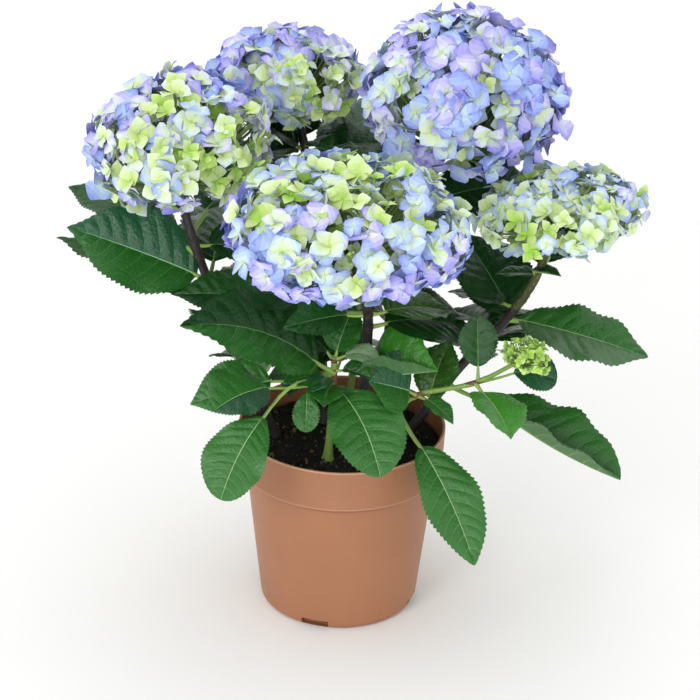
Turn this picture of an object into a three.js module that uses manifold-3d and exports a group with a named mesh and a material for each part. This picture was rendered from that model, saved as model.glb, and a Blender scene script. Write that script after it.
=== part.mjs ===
// A potted mophead hydrangea: a plastic nursery pot filled with peat, canes and shoots that rise
// from it, a mass of leaves on each, five round flower heads and one young green cluster.
// Millimetres, +Z up, front towards -Y. The origin is the centre of the pot's flat underside.
// Headings are degrees in plan, 0 towards +X and 90 towards the back, +Y.
import * as THREE from 'three';
import { mergeVertices } from 'three/addons/utils/BufferGeometryUtils.js';
import Module from 'manifold-3d';

const wasm = await Module();
wasm.setup();

const clear = 0.3; // gap between pieces that touch

const pot = {
  height: 131,
  rimRadius: 70,
  bandHeight: 30, // the stiffening band under the rim
  bandDraft: 1.5, // the band narrows by this much towards its lower edge
  bandStep: 3.5, // and stands this proud of the body
  footRadius: 53.5,
  footRound: 5,
  wall: 1.8,
  lip: 0.7, // chamfer round the rim
  bandEdge: 0.8, // chamfer round the band's lower edge
  sides: 40,
};
const slot = { count: 4, first: -107, width: 19, depth: 12, low: 1, high: 6 };
const soilTop = 118;
const soilEdge = 2; // the peat is rounded off by this much where it meets the pot

// Each stem runs through its points from the soil up. Its bare foot, up to the height called bare,
// is the cane. The part above it, up to the height called top, carries leaves. A flower head sits
// on the last point of the stem that has its name. Behind the leaves that are placed one by one,
// tries more may grow, with headings drawn between the two of span, and find room or are skipped.
const stems = [
  { name: 'left',
    points: [[-46, 5, soilTop], [-70, 3, 180], [-92, 0, 238], [-107, -2, 290], [-110, 0, 335]],
    foot: 4, tip: 2.4, bare: 150, top: 296, tries: 24, span: [55, 108] },
  { name: 'back', points: [[-12, 26, soilTop], [-18, 42, 200], [-26, 62, 280], [-38, 90, 343]],
    foot: 4, tip: 2.4, bare: 150, top: 316, tries: 30, span: [35, 150] },
  { name: 'back_right', points: [[27, 21, soilTop], [31, 28, 190], [44, 34, 260], [75, 42, 354]],
    foot: 4.2, tip: 2.6, bare: 150, top: 292, tries: 30, span: [15, 100] },
  { name: 'centre', points: [[13, -7, soilTop], [15, -22, 195], [14, -44, 245], [1, -97, 319]],
    foot: 4.2, tip: 2.6, bare: 150, top: 270, tries: 0, span: [0, 0] },
  { name: 'right',
    points: [[42, 4, soilTop], [76, 2, 172], [107, 0, 212], [126, -6, 248], [139, -16, 299]],
    foot: 3.8, tip: 2.2, bare: 146, top: 274, tries: 24, span: [25, 110] },
  { name: 'side_shoot',
    points: [[27, -24, soilTop], [32, -29, 148], [48, -34, 171], [87, -45, 188], [119, -50, 210]],
    foot: 3, tip: 1.8, bare: 134, top: 196, tries: 0, span: [0, 0] },
  { name: 'young_shoot', points: [[-9, -26, soilTop], [-7, -30, 160], [-6, -32, 200]],
    foot: 2.8, tip: 1.8, bare: 132, top: 198, tries: 0, span: [0, 0] },
  { name: 'rear_shoot', points: [[4, 46, soilTop], [8, 62, 165], [6, 76, 210]],
    foot: 2.8, tip: 1.8, bare: 134, top: 206, tries: 50, span: [20, 170] },
];
const stemSides = 7;
const footRings = 4; // rings along a bare foot
const leafyRings = 6; // along the part that carries leaves
const headRings = 3; // and along the stalk of a head
const clearMargin = 1.02; // the gap along a curved stem is made this much larger
const flare = { radius: 1.6, height: 5 }; // a cane swells where it leaves the soil
const levelFoot = 12; // and is cut level there

// Leaves that set the plant's outline, stem by stem. Each grows at a height on its stem and has the
// heading and rise of its stalk and blade, the stalk's length, the blade's length and width, the
// angle that the blade droops through, and its roll about its own length.
const leafKeys = ['height', 'heading', 'rise', 'stalk', 'length', 'width', 'droop', 'roll'];
const leaves = {
  left: [
    [236, 175, 26, 8, 92, 58, 15, -45],
    [254, 148, 16, 22, 88, 54, 20, -22],
    [212, 153, 17, 22, 109, 38, 15, -10],
    [262, 20, -5, 10, 50, 38, 25, 20],
  ],
  back: [
    [300, -33, 12, 14, 34, 30, 20, 0],
    [236, -54, -42, 14, 40, 36, 25, 0],
    [222, 9, -30, 14, 58, 36, 30, 0],
    [180, -120, -26, 12, 40, 34, 30, 0],
  ],
  back_right: [
    [278, 22, 10, 14, 66, 46, 15, 15],
    [190, -8, 15, 12, 28, 28, 30, 0],
    [176, -178, -4, 12, 36, 34, 30, 0],
  ],
  centre: [
    [232, 171, 7, 42, 89, 50, 20, -13],
    [190, -24, 30, 12, 44, 44, 30, 25],
    [220, 34, -2, 14, 72, 50, 50, 15],
    [232, -165, 5, 14, 44, 34, 25, -20],
  ],
  right: [
    [213, -9, 1, 8, 90, 48, 25, 14],
    [213, 126, 40, 8, 62, 60, 15, 0],
    [246, -30, 12, 4, 22, 14, 15, 0],
    [246, 172, 2, 4, 28, 16, 15, 0],
    [162, -22, -9, 26, 107, 52, 25, 16],
  ],
  side_shoot: [
    [189, 97, 76, 10, 40, 28, 10, 0],
    [188, -56, -11, 6, 46, 42, 30, 15],
    [174, 60, 50, 8, 34, 26, 15, 0],
    [172, -46, 2, 8, 28, 16, 40, 0],
    [172, -149, 36, 8, 28, 38, 20, -10],
    [188, 6, -2, 16, 36, 26, 20, 15],
    [158, -52, -31, 30, 88, 48, 30, 10],
  ],
  young_shoot: [
    [186, -154, 34, 14, 109, 52, 25, -22],
    [186, -172, -6, 42, 56, 40, 20, -35],
    [180, -158, 0, 42, 42, 38, 25, -30],
    [172, -137, -15, 56, 62, 46, 35, -20],
    [176, -121, -30, 14, 26, 16, 25, 0],
    [170, -66, -2, 10, 68, 54, 45, 6],
    [186, -120, 5, 10, 18, 18, 30, 0],
    [184, -153, 12, 8, 30, 26, 25, -10],
    [186, 165, -6, 16, 32, 28, 25, -15],
    [188, -24, 9, 6, 22, 20, 25, 10],
    [195, 57, 63, 6, 34, 30, 20, 0],
    [195, 127, 22, 8, 34, 28, 20, 0],
  ],
};

const blooms = [
  { name: 'left', radius: 63, height: 46, under: 36, tilt: 10, towards: 200, florets: 22, size: 24 },
  { name: 'back', radius: 47, height: 33, under: 25, tilt: 0, towards: 110, florets: 20, size: 19 },
  { name: 'back_right', radius: 68, height: 58, under: 54, tilt: 0, towards: 40, florets: 26, size: 26 },
  { name: 'centre', radius: 79, height: 45, under: 32, tilt: 0, towards: 265, florets: 26, size: 24 },
  { name: 'right', radius: 56, height: 23, under: 16, tilt: 5, towards: 180, florets: 24, size: 17 },
  { name: 'side_shoot', radius: 17, height: 12, under: 7, tilt: 15, towards: 0, florets: 12, size: 7 },
];

// The rule for the leaves that grow behind. Each pair is the least and the most. A leaf's place on
// its stem also sets its rise: the higher, the steeper.
const grownLeaf = {
  aboveBare: 14,
  belowTop: 20,
  rise: [-20, 30],
  riseSpread: 20,
  stalk: [12, 26],
  length: [66, 104],
  width: 0.58, // as a share of the length
  droop: [20, 45],
  roll: [-15, 15],
};
const leafRoom = 12; // least distance between a grown leaf and the others
const headRoom = 9; // and a flower head
const stemRoom = 9; // and a stem or the pot's rim
const overhang = 84; // a leaf this far out may hang past the pot's rim
const stemPlaces = 24; // places along a stem that this room is measured from
const placeRows = 8; // and along a leaf
const placeSides = 2; // and to each side of its midrib

const leafStalk = { thick: 1.9, thin: 1.3, sides: 4, sunk: 0.1 };
const bladeFold = 12; // each half of a blade is raised this much from its midrib
const bladeThickness = 0.02; // at the midrib, as a share of the leaf's length
const thinnestBlade = 1.2;
const bladeSteps = 6;
const nearEnd = 0.01; // a blade's two ends are taken as points below this
const leafOutline = { widest: 0.86, blunt: 0.6, drawnOut: 0.3 }; // exponents of the half width
const leafSeed = 101;
const coreShare = 0.88; // a head's core, as a share of the head
const coreSides = 10;
const coreRows = 6;
const lowestFloret = -0.45; // as a share of the head's depth under its edge
const petalCount = 4;
const floretNotch = 0.66; // how far the notch between two petals reaches, as a share of a petal
const floretDepth = 0.65; // of its cone, as a share of a petal
const floretSize = [0.88, 1.12];
const floretToss = 0.4; // how much a floret's face strays
const floretStray = 0.3; // and its place on the spiral, in radians
const goldenAngle = Math.PI * (3 - Math.sqrt(5));

const rad = THREE.MathUtils.degToRad;
const up = new THREE.Vector3(0, 0, 1);
const back = new THREE.Vector3(0, 1, 0);

// Repeatable draws between 0 and 1.
function draws(seed) {
  let state = seed;
  return () => {
    state = (state * 1664525 + 1013904223) % 4294967296;
    return state / 4294967296;
  };
}

function between([least, most], share) {
  return THREE.MathUtils.lerp(least, most, share);
}

// A unit vector from a heading in plan and a rise above the level.
function direction(heading, rise) {
  const level = Math.cos(rad(rise));
  return new THREE.Vector3(
    level * Math.cos(rad(heading)),
    level * Math.sin(rad(heading)),
    Math.sin(rad(rise)),
  );
}

// A closed mesh as a solid that can be joined and cut.
function solid(geometry) {
  const bare = geometry.clone();
  bare.deleteAttribute('normal');
  bare.deleteAttribute('uv');
  const merged = mergeVertices(bare, 1e-4);
  return new wasm.Manifold(new wasm.Mesh({
    numProp: 3,
    vertProperties: merged.attributes.position.array,
    triVerts: new Uint32Array(merged.index.array),
  }));
}

// All the solids in one. Hollows that the join seals are filled and loose scraps dropped, because
// only the largest closed surface is kept.
function fuse(solids) {
  const shells = wasm.Manifold.union(solids).decompose();
  return shells.sort((a, b) => b.volume() - a.volume())[0];
}

function mesh(name, shape, material) {
  const { vertProperties, triVerts } = shape.getMesh();
  const geometry = new THREE.BufferGeometry();
  geometry.setAttribute('position', new THREE.BufferAttribute(vertProperties, 3));
  geometry.setIndex(new THREE.BufferAttribute(triVerts, 1));
  const faceted = geometry.toNonIndexed();
  faceted.computeVertexNormals();
  const made = new THREE.Mesh(faceted, material);
  made.name = name;
  return made;
}

// Moves every vertex of a geometry by a rule that is given the vertex.
function reshape(geometry, rule) {
  const place = geometry.attributes.position;
  const point = new THREE.Vector3();
  for (let i = 0; i < place.count; i += 1) {
    point.fromBufferAttribute(place, i);
    rule(point);
    place.setXYZ(i, point.x, point.y, point.z);
  }
  return geometry;
}

// --- pot and soil ---

function potWall() {
  const bodyTop = pot.height - pot.bandHeight;
  const bandFoot = pot.rimRadius - pot.bandDraft;
  const bodyRadius = bandFoot - pot.bandStep;
  const corner = pot.footRadius - pot.footRound;
  const profile = [new THREE.Vector2(0, 0)];
  for (const turn of [-90, -45, 0]) {
    profile.push(new THREE.Vector2(
      corner + pot.footRound * Math.cos(rad(turn)),
      pot.footRound * (1 + Math.sin(rad(turn))),
    ));
  }
  profile.push(
    new THREE.Vector2(bodyRadius, bodyTop),
    new THREE.Vector2(bandFoot - pot.bandEdge, bodyTop),
    new THREE.Vector2(bandFoot, bodyTop + pot.bandEdge),
    new THREE.Vector2(pot.rimRadius, pot.height - pot.lip),
    new THREE.Vector2(pot.rimRadius - pot.lip, pot.height),
    new THREE.Vector2(pot.rimRadius - pot.wall, pot.height - pot.lip / 2),
    new THREE.Vector2(bandFoot - pot.wall, bodyTop + pot.wall),
    new THREE.Vector2(bodyRadius - pot.wall, bodyTop),
    new THREE.Vector2(pot.footRadius - pot.wall, pot.footRound),
    new THREE.Vector2(corner, pot.wall),
    new THREE.Vector2(0, pot.wall),
  );
  const wall = solid(new THREE.LatheGeometry(profile, pot.sides).rotateX(Math.PI / 2));
  const cuts = [];
  for (let i = 0; i < slot.count; i += 1) {
    const cut = new THREE.BoxGeometry(slot.depth, slot.width, slot.high - slot.low);
    cut.translate(pot.footRadius, 0, (slot.low + slot.high) / 2);
    cut.rotateZ(rad(slot.first + (i * 360) / slot.count));
    cuts.push(solid(cut));
  }
  return wall.subtract(wasm.Manifold.union(cuts));
}

// The peat fills the pot, clear of its wall, with a flat top.
function rootBall() {
  const inner = pot.footRadius - pot.wall - clear;
  const low = pot.wall + clear;
  const bodyTop = pot.height - pot.bandHeight;
  const bodyRadius = pot.rimRadius - pot.bandDraft - pot.bandStep - pot.wall - clear;
  const profile = [
    new THREE.Vector2(0, low),
    new THREE.Vector2(inner - pot.footRound, low),
    new THREE.Vector2(inner, pot.footRound + clear),
    new THREE.Vector2(bodyRadius, bodyTop),
    new THREE.Vector2(bodyRadius + soilEdge / 2, soilTop - soilEdge),
    new THREE.Vector2(bodyRadius - soilEdge / 2, soilTop),
    new THREE.Vector2(0, soilTop),
  ];
  return solid(new THREE.LatheGeometry(profile, pot.sides).rotateX(Math.PI / 2));
}

// --- canes, shoots and stalks ---

function stemCurve(stem) {
  const points = stem.points.map((point) => new THREE.Vector3(...point));
  return new THREE.CatmullRomCurve3(points, false, 'catmullrom', 0.5);
}

// The share of a stem's curve at which it reaches a height.
function shareAt(curve, height) {
  let low = 0;
  let high = 1;
  for (let i = 0; i < 30; i += 1) {
    const middle = (low + high) / 2;
    if (curve.getPoint(middle).z < height) low = middle;
    else high = middle;
  }
  return (low + high) / 2;
}

// The share of a curve that lies the clear gap beyond another.
function beyond(curve, share) {
  const step = 1e-3;
  const speed = curve.getPoint(share + step).distanceTo(curve.getPoint(share)) / step;
  return share + (clear * clearMargin) / speed;
}

function stemRadius(stem, height) {
  const foot = stem.points[0][2];
  const tip = stem.points[stem.points.length - 1][2];
  const risen = (height - foot) / (tip - foot);
  const swell = flare.radius * Math.exp(-(height - foot) / flare.height);
  return THREE.MathUtils.lerp(stem.foot, stem.tip, risen) + swell;
}

// A stretch of a stem between two shares of its curve: a cylinder bent along it. Its rings are
// square to the stem, but level at the soil.
function stretch(stem, from, to, steps) {
  const curve = stemCurve(stem);
  return solid(reshape(new THREE.CylinderGeometry(1, 1, 1, stemSides, steps), (point) => {
    const share = THREE.MathUtils.lerp(from, to, point.y + 0.5);
    const centre = curve.getPoint(share);
    const radius = stemRadius(stem, centre.z);
    const levelled = THREE.MathUtils.smoothstep(centre.z - soilTop, 0, levelFoot);
    const axis = up.clone().lerp(curve.getTangent(share), levelled).normalize();
    const side = axis.clone().cross(back).normalize();
    const front = side.clone().cross(axis);
    const { x, z } = point;
    point.copy(centre).addScaledVector(side, x * radius).addScaledVector(front, z * radius);
  }));
}

// A leaf's straight stalk, which tapers from one point to another.
function stalk(from, to) {
  const { thick, thin, sides } = leafStalk;
  const along = to.clone().sub(from);
  const rod = new THREE.CylinderGeometry(thin, thick, along.length(), sides);
  rod.applyQuaternion(new THREE.Quaternion().setFromUnitVectors(
    new THREE.Vector3(0, 1, 0),
    along.clone().normalize(),
  ));
  const middle = from.clone().lerp(to, 0.5);
  return solid(rod.translate(middle.x, middle.y, middle.z));
}

// --- leaves ---

// A leaf's half width at a share of its length: widest below the middle, drawn out to a point.
function halfWidth(leaf, along) {
  const { widest, blunt, drawnOut } = leafOutline;
  const swell = Math.max(0, Math.sin(Math.PI * along ** widest));
  return (leaf.width / 2) * swell ** (blunt + drawnOut * along * along);
}

// A place on a leaf's blade. along runs from its base to its tip and across from one edge to the
// other, -1 to 1. lift stands off the blade's face.
function bladePoint(leaf, along, across, lift) {
  const turn = rad(leaf.droop);
  const start = rad(leaf.rise);
  const slope = start - turn * along;
  const out = (leaf.length / turn) * (Math.sin(start) - Math.sin(slope));
  const rise = (leaf.length / turn) * (Math.cos(slope) - Math.cos(start));
  const ahead = direction(leaf.heading, 0);
  const face = direction(leaf.heading, THREE.MathUtils.radToDeg(slope) + 90);
  const side = direction(leaf.heading + 90, 0);
  const tilted = side.clone().multiplyScalar(Math.cos(rad(leaf.roll)))
    .addScaledVector(face, Math.sin(rad(leaf.roll)));
  const normal = face.clone().multiplyScalar(Math.cos(rad(leaf.roll)))
    .addScaledVector(side, -Math.sin(rad(leaf.roll)));
  const reach = halfWidth(leaf, along);
  return leaf.base.clone()
    .addScaledVector(ahead, out)
    .addScaledVector(up, rise)
    .addScaledVector(tilted, across * reach * Math.cos(rad(bladeFold)))
    .addScaledVector(normal, Math.abs(across) * reach * Math.sin(rad(bladeFold)) + lift);
}

// A blade is a four-sided ball drawn out along the leaf: thick at its midrib, thin at its edges.
function blade(leaf) {
  const thick = Math.max(leaf.length * bladeThickness, thinnestBlade);
  return solid(reshape(new THREE.SphereGeometry(1, 4, bladeSteps), (point) => {
    const along = Math.acos(THREE.MathUtils.clamp(point.y, -1, 1)) / Math.PI;
    const round = Math.sin(Math.PI * along);
    const across = round > nearEnd ? point.x / round : 0;
    const lift = round > nearEnd ? ((point.z / round) * thick) / 2 : 0;
    point.copy(bladePoint(leaf, along, across, lift));
  }));
}

function leafOn(stem, row) {
  const leaf = Object.fromEntries(leafKeys.map((key, i) => [key, row[i]]));
  const curve = stemCurve(stem);
  leaf.root = curve.getPoint(shareAt(curve, leaf.height));
  leaf.base = leaf.root.clone().addScaledVector(direction(leaf.heading, leaf.rise), leaf.stalk);
  return leaf;
}

// Places spread over a blade, to measure its room with.
function leafPlaces(leaf) {
  const places = [];
  for (let i = 0; i <= placeRows; i += 1) {
    for (let j = -placeSides; j <= placeSides; j += 1) {
      places.push(bladePoint(leaf, i / placeRows, j / placeSides, 0));
    }
  }
  return places;
}

// Whether a place lies inside a flower head that is grown by headRoom.
function inHead(bloom, place) {
  const stem = stems.find((candidate) => candidate.name === bloom.name);
  const offset = place.clone().sub(new THREE.Vector3(...stem.points[stem.points.length - 1]));
  const depth = (offset.z > 0 ? bloom.height : bloom.under) + headRoom;
  const radius = bloom.radius + headRoom;
  return (offset.x / radius) ** 2 + (offset.y / radius) ** 2 + (offset.z / depth) ** 2 < 1;
}

// Whether a leaf that grows by the rule keeps to free space: clear of the pot, the stems, the
// heads and the leaves before it.
function hasRoom(leaf, taken) {
  const atBase = 2 * placeSides + 1;
  return leafPlaces(leaf).every((place, i) => {
    const overPot = place.z < pot.height + stemRoom && Math.hypot(place.x, place.y) < overhang;
    if (overPot || blooms.some((bloom) => inHead(bloom, place))) return false;
    if (taken.leaves.some((other) => other.distanceTo(place) < leafRoom)) return false;
    return i < atBase || !taken.stems.some((other) => other.distanceTo(place) < stemRoom);
  });
}

// The leaves of every stem: the placed ones, then the ones that the rule adds where there is room.
function growLeaves() {
  const rule = grownLeaf;
  const grown = {};
  const taken = { leaves: [], stems: stems.flatMap((stem) => stemCurve(stem).getPoints(stemPlaces)) };
  for (const stem of stems) {
    grown[stem.name] = (leaves[stem.name] ?? []).map((row) => leafOn(stem, row));
    taken.leaves.push(...grown[stem.name].flatMap(leafPlaces));
  }
  for (const stem of stems) {
    const draw = draws(stem.name.length * leafSeed);
    for (let i = 0; i < stem.tries; i += 1) {
      const share = draw();
      const height = between([stem.bare + rule.aboveBare, stem.top - rule.belowTop], share);
      const heading = between(stem.span, draw());
      const rise = between(rule.rise, share) + rule.riseSpread * (draw() - 0.5);
      const length = between(rule.length, draw());
      const reach = between(rule.stalk, draw());
      const droop = between(rule.droop, draw());
      const roll = between(rule.roll, draw());
      const leaf = leafOn(
        stem,
        [height, heading, rise, reach, length, length * rule.width, droop, roll],
      );
      if (hasRoom(leaf, taken)) {
        grown[stem.name].push(leaf);
        taken.leaves.push(...leafPlaces(leaf));
      }
    }
  }
  return grown;
}

// A blade and its stalk, which is sunk into it.
function leafSolids(leaf) {
  const end = bladePoint(leaf, leafStalk.sunk, 0, 0);
  return [blade(leaf), stalk(leaf.root, end)];
}

// --- flower heads ---

// A flower head is a core that four-lobed florets stand out of, on a stalk that goes on from its
// stem. The florets follow a spiral from the crown of the head to a little under its edge.
function flowerHead(bloom, stem) {
  const curve = stemCurve(stem);
  const centre = new THREE.Vector3(...stem.points[stem.points.length - 1]);
  const from = beyond(curve, shareAt(curve, stem.top));
  const lean = new THREE.Quaternion().setFromUnitVectors(
    up,
    direction(bloom.towards, 90 - bloom.tilt),
  );
  const scaleAt = (height) => (height > 0 ? bloom.height : bloom.under);
  const core = reshape(new THREE.SphereGeometry(1, coreSides, coreRows).rotateX(Math.PI / 2), (point) => {
    point.set(
      point.x * bloom.radius * coreShare,
      point.y * bloom.radius * coreShare,
      point.z * scaleAt(point.z) * coreShare,
    );
    point.applyQuaternion(lean).add(centre);
  });
  const parts = [solid(core), stretch(stem, from, 1, headRings)];
  const draw = draws(bloom.florets);
  for (let i = 0; i < bloom.florets; i += 1) {
    const height = 1 - ((i + 0.5) / bloom.florets) * (1 - lowestFloret);
    const level = Math.sqrt(1 - height * height);
    const turn = i * goldenAngle + draw() * floretStray;
    const depth = scaleAt(height);
    const seat = new THREE.Vector3(
      bloom.radius * level * Math.cos(turn),
      bloom.radius * level * Math.sin(turn),
      depth * height,
    );
    const face = new THREE.Vector3(
      (level * Math.cos(turn)) / bloom.radius,
      (level * Math.sin(turn)) / bloom.radius,
      height / depth,
    ).normalize();
    face.x += (draw() - 0.5) * floretToss;
    face.y += (draw() - 0.5) * floretToss;
    face.normalize();
    const size = bloom.size * between(floretSize, draw());
    const spin = draw() * Math.PI;
    const floret = reshape(new THREE.ConeGeometry(1, 1, 2 * petalCount), (point) => {
      const corner = Math.round(Math.atan2(point.z, point.x) / (Math.PI / petalCount));
      const lobe = corner % 2 ? floretNotch : 1;
      point.set(point.x * size * lobe, point.z * size * lobe, -(point.y + 0.5) * size * floretDepth);
    });
    floret.rotateZ(spin);
    floret.applyQuaternion(new THREE.Quaternion().setFromUnitVectors(up, face));
    floret.translate(seat.x, seat.y, seat.z);
    floret.applyQuaternion(lean);
    floret.translate(centre.x, centre.y, centre.z);
    parts.push(solid(floret));
  }
  return fuse(parts);
}

// --- the plant ---

const finish = (color, roughness) => new THREE.MeshStandardMaterial({
  color, roughness, metalness: 0, flatShading: true,
});
const potPlastic = finish('#b57b5c', 0.55);
const peat = finish('#1e1614', 0.95);
const darkCane = finish('#2b2228', 0.6);
const greenShoot = finish('#8fae5a', 0.6);
const leafGreen = finish('#2b7a35', 0.45);
const petals = finish('#a9a6ee', 0.7);
const youngPetals = finish('#b9d35e', 0.7);

const plant = new THREE.Group();
plant.add(mesh('pot', potWall(), potPlastic));
plant.add(mesh('soil', rootBall(), peat));

const grown = growLeaves();
for (const stem of stems) {
  const curve = stemCurve(stem);
  const shoot = stem.name.endsWith('shoot');
  const foot = shareAt(curve, soilTop + clear);
  const bare = shareAt(curve, stem.bare);
  plant.add(mesh(`cane_${stem.name}`, stretch(stem, foot, bare, footRings), shoot ? greenShoot : darkCane));
  const top = shareAt(curve, stem.top);
  const parts = [stretch(stem, beyond(curve, bare), top, leafyRings)];
  for (const leaf of grown[stem.name]) parts.push(...leafSolids(leaf));
  plant.add(mesh(`leaves_${stem.name}`, fuse(parts), leafGreen));
}

for (const bloom of blooms) {
  const stem = stems.find((candidate) => candidate.name === bloom.name);
  const colour = stem.name === 'side_shoot' ? youngPetals : petals;
  plant.add(mesh(`bloom_${bloom.name}`, flowerHead(bloom, stem), colour));
}

export default plant;
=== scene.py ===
# Potted mophead hydrangea: canes, leaves, flower heads, peat and pot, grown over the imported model.
# Metres, +Z up, front towards -Y. Tables of sizes are in millimetres, like the model's own.
import bpy
import math
import numpy as np
from mathutils import Matrix, Vector


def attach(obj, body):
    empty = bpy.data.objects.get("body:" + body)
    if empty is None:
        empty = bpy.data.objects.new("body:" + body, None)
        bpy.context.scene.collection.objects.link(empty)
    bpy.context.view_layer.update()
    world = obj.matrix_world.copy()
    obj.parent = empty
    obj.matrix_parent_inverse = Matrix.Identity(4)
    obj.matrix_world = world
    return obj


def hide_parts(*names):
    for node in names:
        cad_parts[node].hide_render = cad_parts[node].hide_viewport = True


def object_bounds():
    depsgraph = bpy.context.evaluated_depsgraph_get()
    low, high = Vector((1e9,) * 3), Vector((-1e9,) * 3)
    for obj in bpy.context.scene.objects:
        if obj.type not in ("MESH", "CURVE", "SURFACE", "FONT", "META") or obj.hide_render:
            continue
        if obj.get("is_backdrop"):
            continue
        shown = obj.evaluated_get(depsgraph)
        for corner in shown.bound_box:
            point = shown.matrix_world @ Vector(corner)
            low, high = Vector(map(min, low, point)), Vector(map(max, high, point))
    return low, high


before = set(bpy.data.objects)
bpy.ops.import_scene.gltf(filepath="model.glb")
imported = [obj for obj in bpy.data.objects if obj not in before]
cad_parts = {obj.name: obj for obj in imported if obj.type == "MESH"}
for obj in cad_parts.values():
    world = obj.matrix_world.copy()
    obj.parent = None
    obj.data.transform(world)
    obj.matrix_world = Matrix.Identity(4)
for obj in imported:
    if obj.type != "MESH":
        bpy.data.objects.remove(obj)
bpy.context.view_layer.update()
mm = 0.001
print("frame loaded:", len(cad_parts), "nodes")


# small helpers for materials

def toLinear(hexColour):
    channels = [int(hexColour[i:i + 2], 16) / 255 for i in (1, 3, 5)]
    return [c / 12.92 if c <= 0.04045 else ((c + 0.055) / 1.055) ** 2.4 for c in channels] + [1.0]


def addNode(tree, kind, settings=None, links=None):
    node = tree.nodes.new(kind)
    for name, value in (settings or {}).items():
        if isinstance(name, int) or name in node.inputs:
            node.inputs[name].default_value = value
        else:
            setattr(node, name, value)
    for name, source in (links or {}).items():
        tree.links.new(source, node.inputs[name])
    return node


def newMaterial(name, hexColour, settings):
    material = bpy.data.materials.new(name)
    material.use_nodes = True
    shader = material.node_tree.nodes["Principled BSDF"]
    shader.inputs["Base Color"].default_value = toLinear(hexColour)
    for socket, value in settings.items():
        shader.inputs[socket].default_value = value
    return material, material.node_tree, shader


def addRelief(tree, shader, height, strength, depth):
    bump = addNode(tree, "ShaderNodeBump", {"Strength": strength, "Distance": depth}, {"Height": height})
    tree.links.new(bump.outputs["Normal"], shader.inputs["Normal"])


def laidOn(tree, kind, settings):
    # a pattern laid over the piece's own coordinates
    place = addNode(tree, "ShaderNodeTexCoord")
    return addNode(tree, kind, settings, {"Vector": place.outputs["Object"]})


def fade(tree, value, low, high, start=0.0, end=1.0):
    settings = {"From Min": low, "From Max": high, "To Min": start, "To Max": end}
    return addNode(tree, "ShaderNodeMapRange", settings, {"Value": value}).outputs["Result"]


def blend(tree, share, first, second):
    # either colour is a hex one or a socket
    node = addNode(tree, "ShaderNodeMix", {"data_type": "RGBA"}, {0: share})
    for socket, colour in ((6, first), (7, second)):
        if isinstance(colour, str):
            node.inputs[socket].default_value = toLinear(colour)
        else:
            tree.links.new(colour, node.inputs[socket])
    return node.outputs[2]


def times(tree, one, other):
    return addNode(tree, "ShaderNodeMath", {"operation": "MULTIPLY"}, {0: one, 1: other}).outputs["Value"]


def grainySkin(name, hexColour, shine, grain):
    # one plain colour with a fine grain in relief
    material, tree, shader = newMaterial(name, hexColour, shine)
    noise = laidOn(tree, "ShaderNodeTexNoise", grain["noise"])
    addRelief(tree, shader, noise.outputs["Fac"], grain["strength"], grain["depth"])
    return material


def pickOnly(piece):
    bpy.ops.object.select_all(action="DESELECT")
    piece.select_set(True)
    bpy.context.view_layer.objects.active = piece


# camera, light and floor

view = {
    "place": (0.0, -2.2, 1.32182),
    "pitch": 0.476313,  # looks down by this much, radians
    "turn": -0.00186,
    "roll": 0.0251469,
    "lens": 190.19, "sensor": 36, "reach": 20,
    "roomLight": 0.97, "floorSize": 14,
}
cameraData = bpy.data.cameras.new("camera")
cameraData.lens = view["lens"]
cameraData.sensor_width = view["sensor"]
cameraData.clip_end = view["reach"]
camera = bpy.data.objects.new("camera", cameraData)
bpy.context.collection.objects.link(camera)
turned = (Matrix.Rotation(view["turn"], 3, "Z") @ Matrix.Rotation(math.pi / 2 - view["pitch"], 3, "X")
          @ Matrix.Rotation(view["roll"], 3, "Z"))
camera.matrix_world = Matrix.Translation(view["place"]) @ turned.to_4x4()
bpy.context.scene.camera = camera
bpy.context.scene.view_settings.view_transform = "Standard"

lampAim = Vector((0, 0, 0.2))
lamps = [
    {"name": "key", "place": (-1.1, -1.8, 1.4), "size": 0.8, "power": 13},
    {"name": "fill", "place": (0.1, -2.1, 0.6), "size": 1.0, "power": 6.5},
    {"name": "rear", "place": (0.2, 0.9, 2.3), "size": 1.4, "power": 6},
]
for lamp in lamps:
    data = bpy.data.lights.new(lamp["name"], "AREA")
    data.size = lamp["size"]
    data.energy = lamp["power"]
    light = bpy.data.objects.new(lamp["name"], data)
    light.location = lamp["place"]
    light.rotation_euler = (lampAim - light.location).to_track_quat("-Z", "Y").to_euler()
    bpy.context.collection.objects.link(light)

world = bpy.data.worlds.new("softRoom")
world.use_nodes = True
room = world.node_tree.nodes["Background"]
room.inputs["Color"].default_value = (1, 1, 1, 1)
room.inputs["Strength"].default_value = view["roomLight"]
bpy.context.scene.world = world

bpy.ops.object.select_all(action="DESELECT")
bpy.ops.mesh.primitive_plane_add(size=view["floorSize"], location=(0, 0, 0))
floor = bpy.context.object
floor.name = "floor"
floor.data.materials.append(newMaterial("matt white paint", "#F8F8F7", {"Roughness": 0.8})[0])
floor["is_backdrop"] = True
print("camera, lamps and floor set")


# meshes from arrays: many small joined things

def gathered(items):
    # many items made one: an item is its points in mm, its triangles and the material number of each
    starts = np.cumsum([0] + [len(points) for points, _, _ in items[:-1]])
    return (np.concatenate([points for points, _, _ in items]),
            np.concatenate([faces + start for (_, faces, _), start in zip(items, starts)]),
            np.concatenate([slots for _, _, slots in items]))


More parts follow.
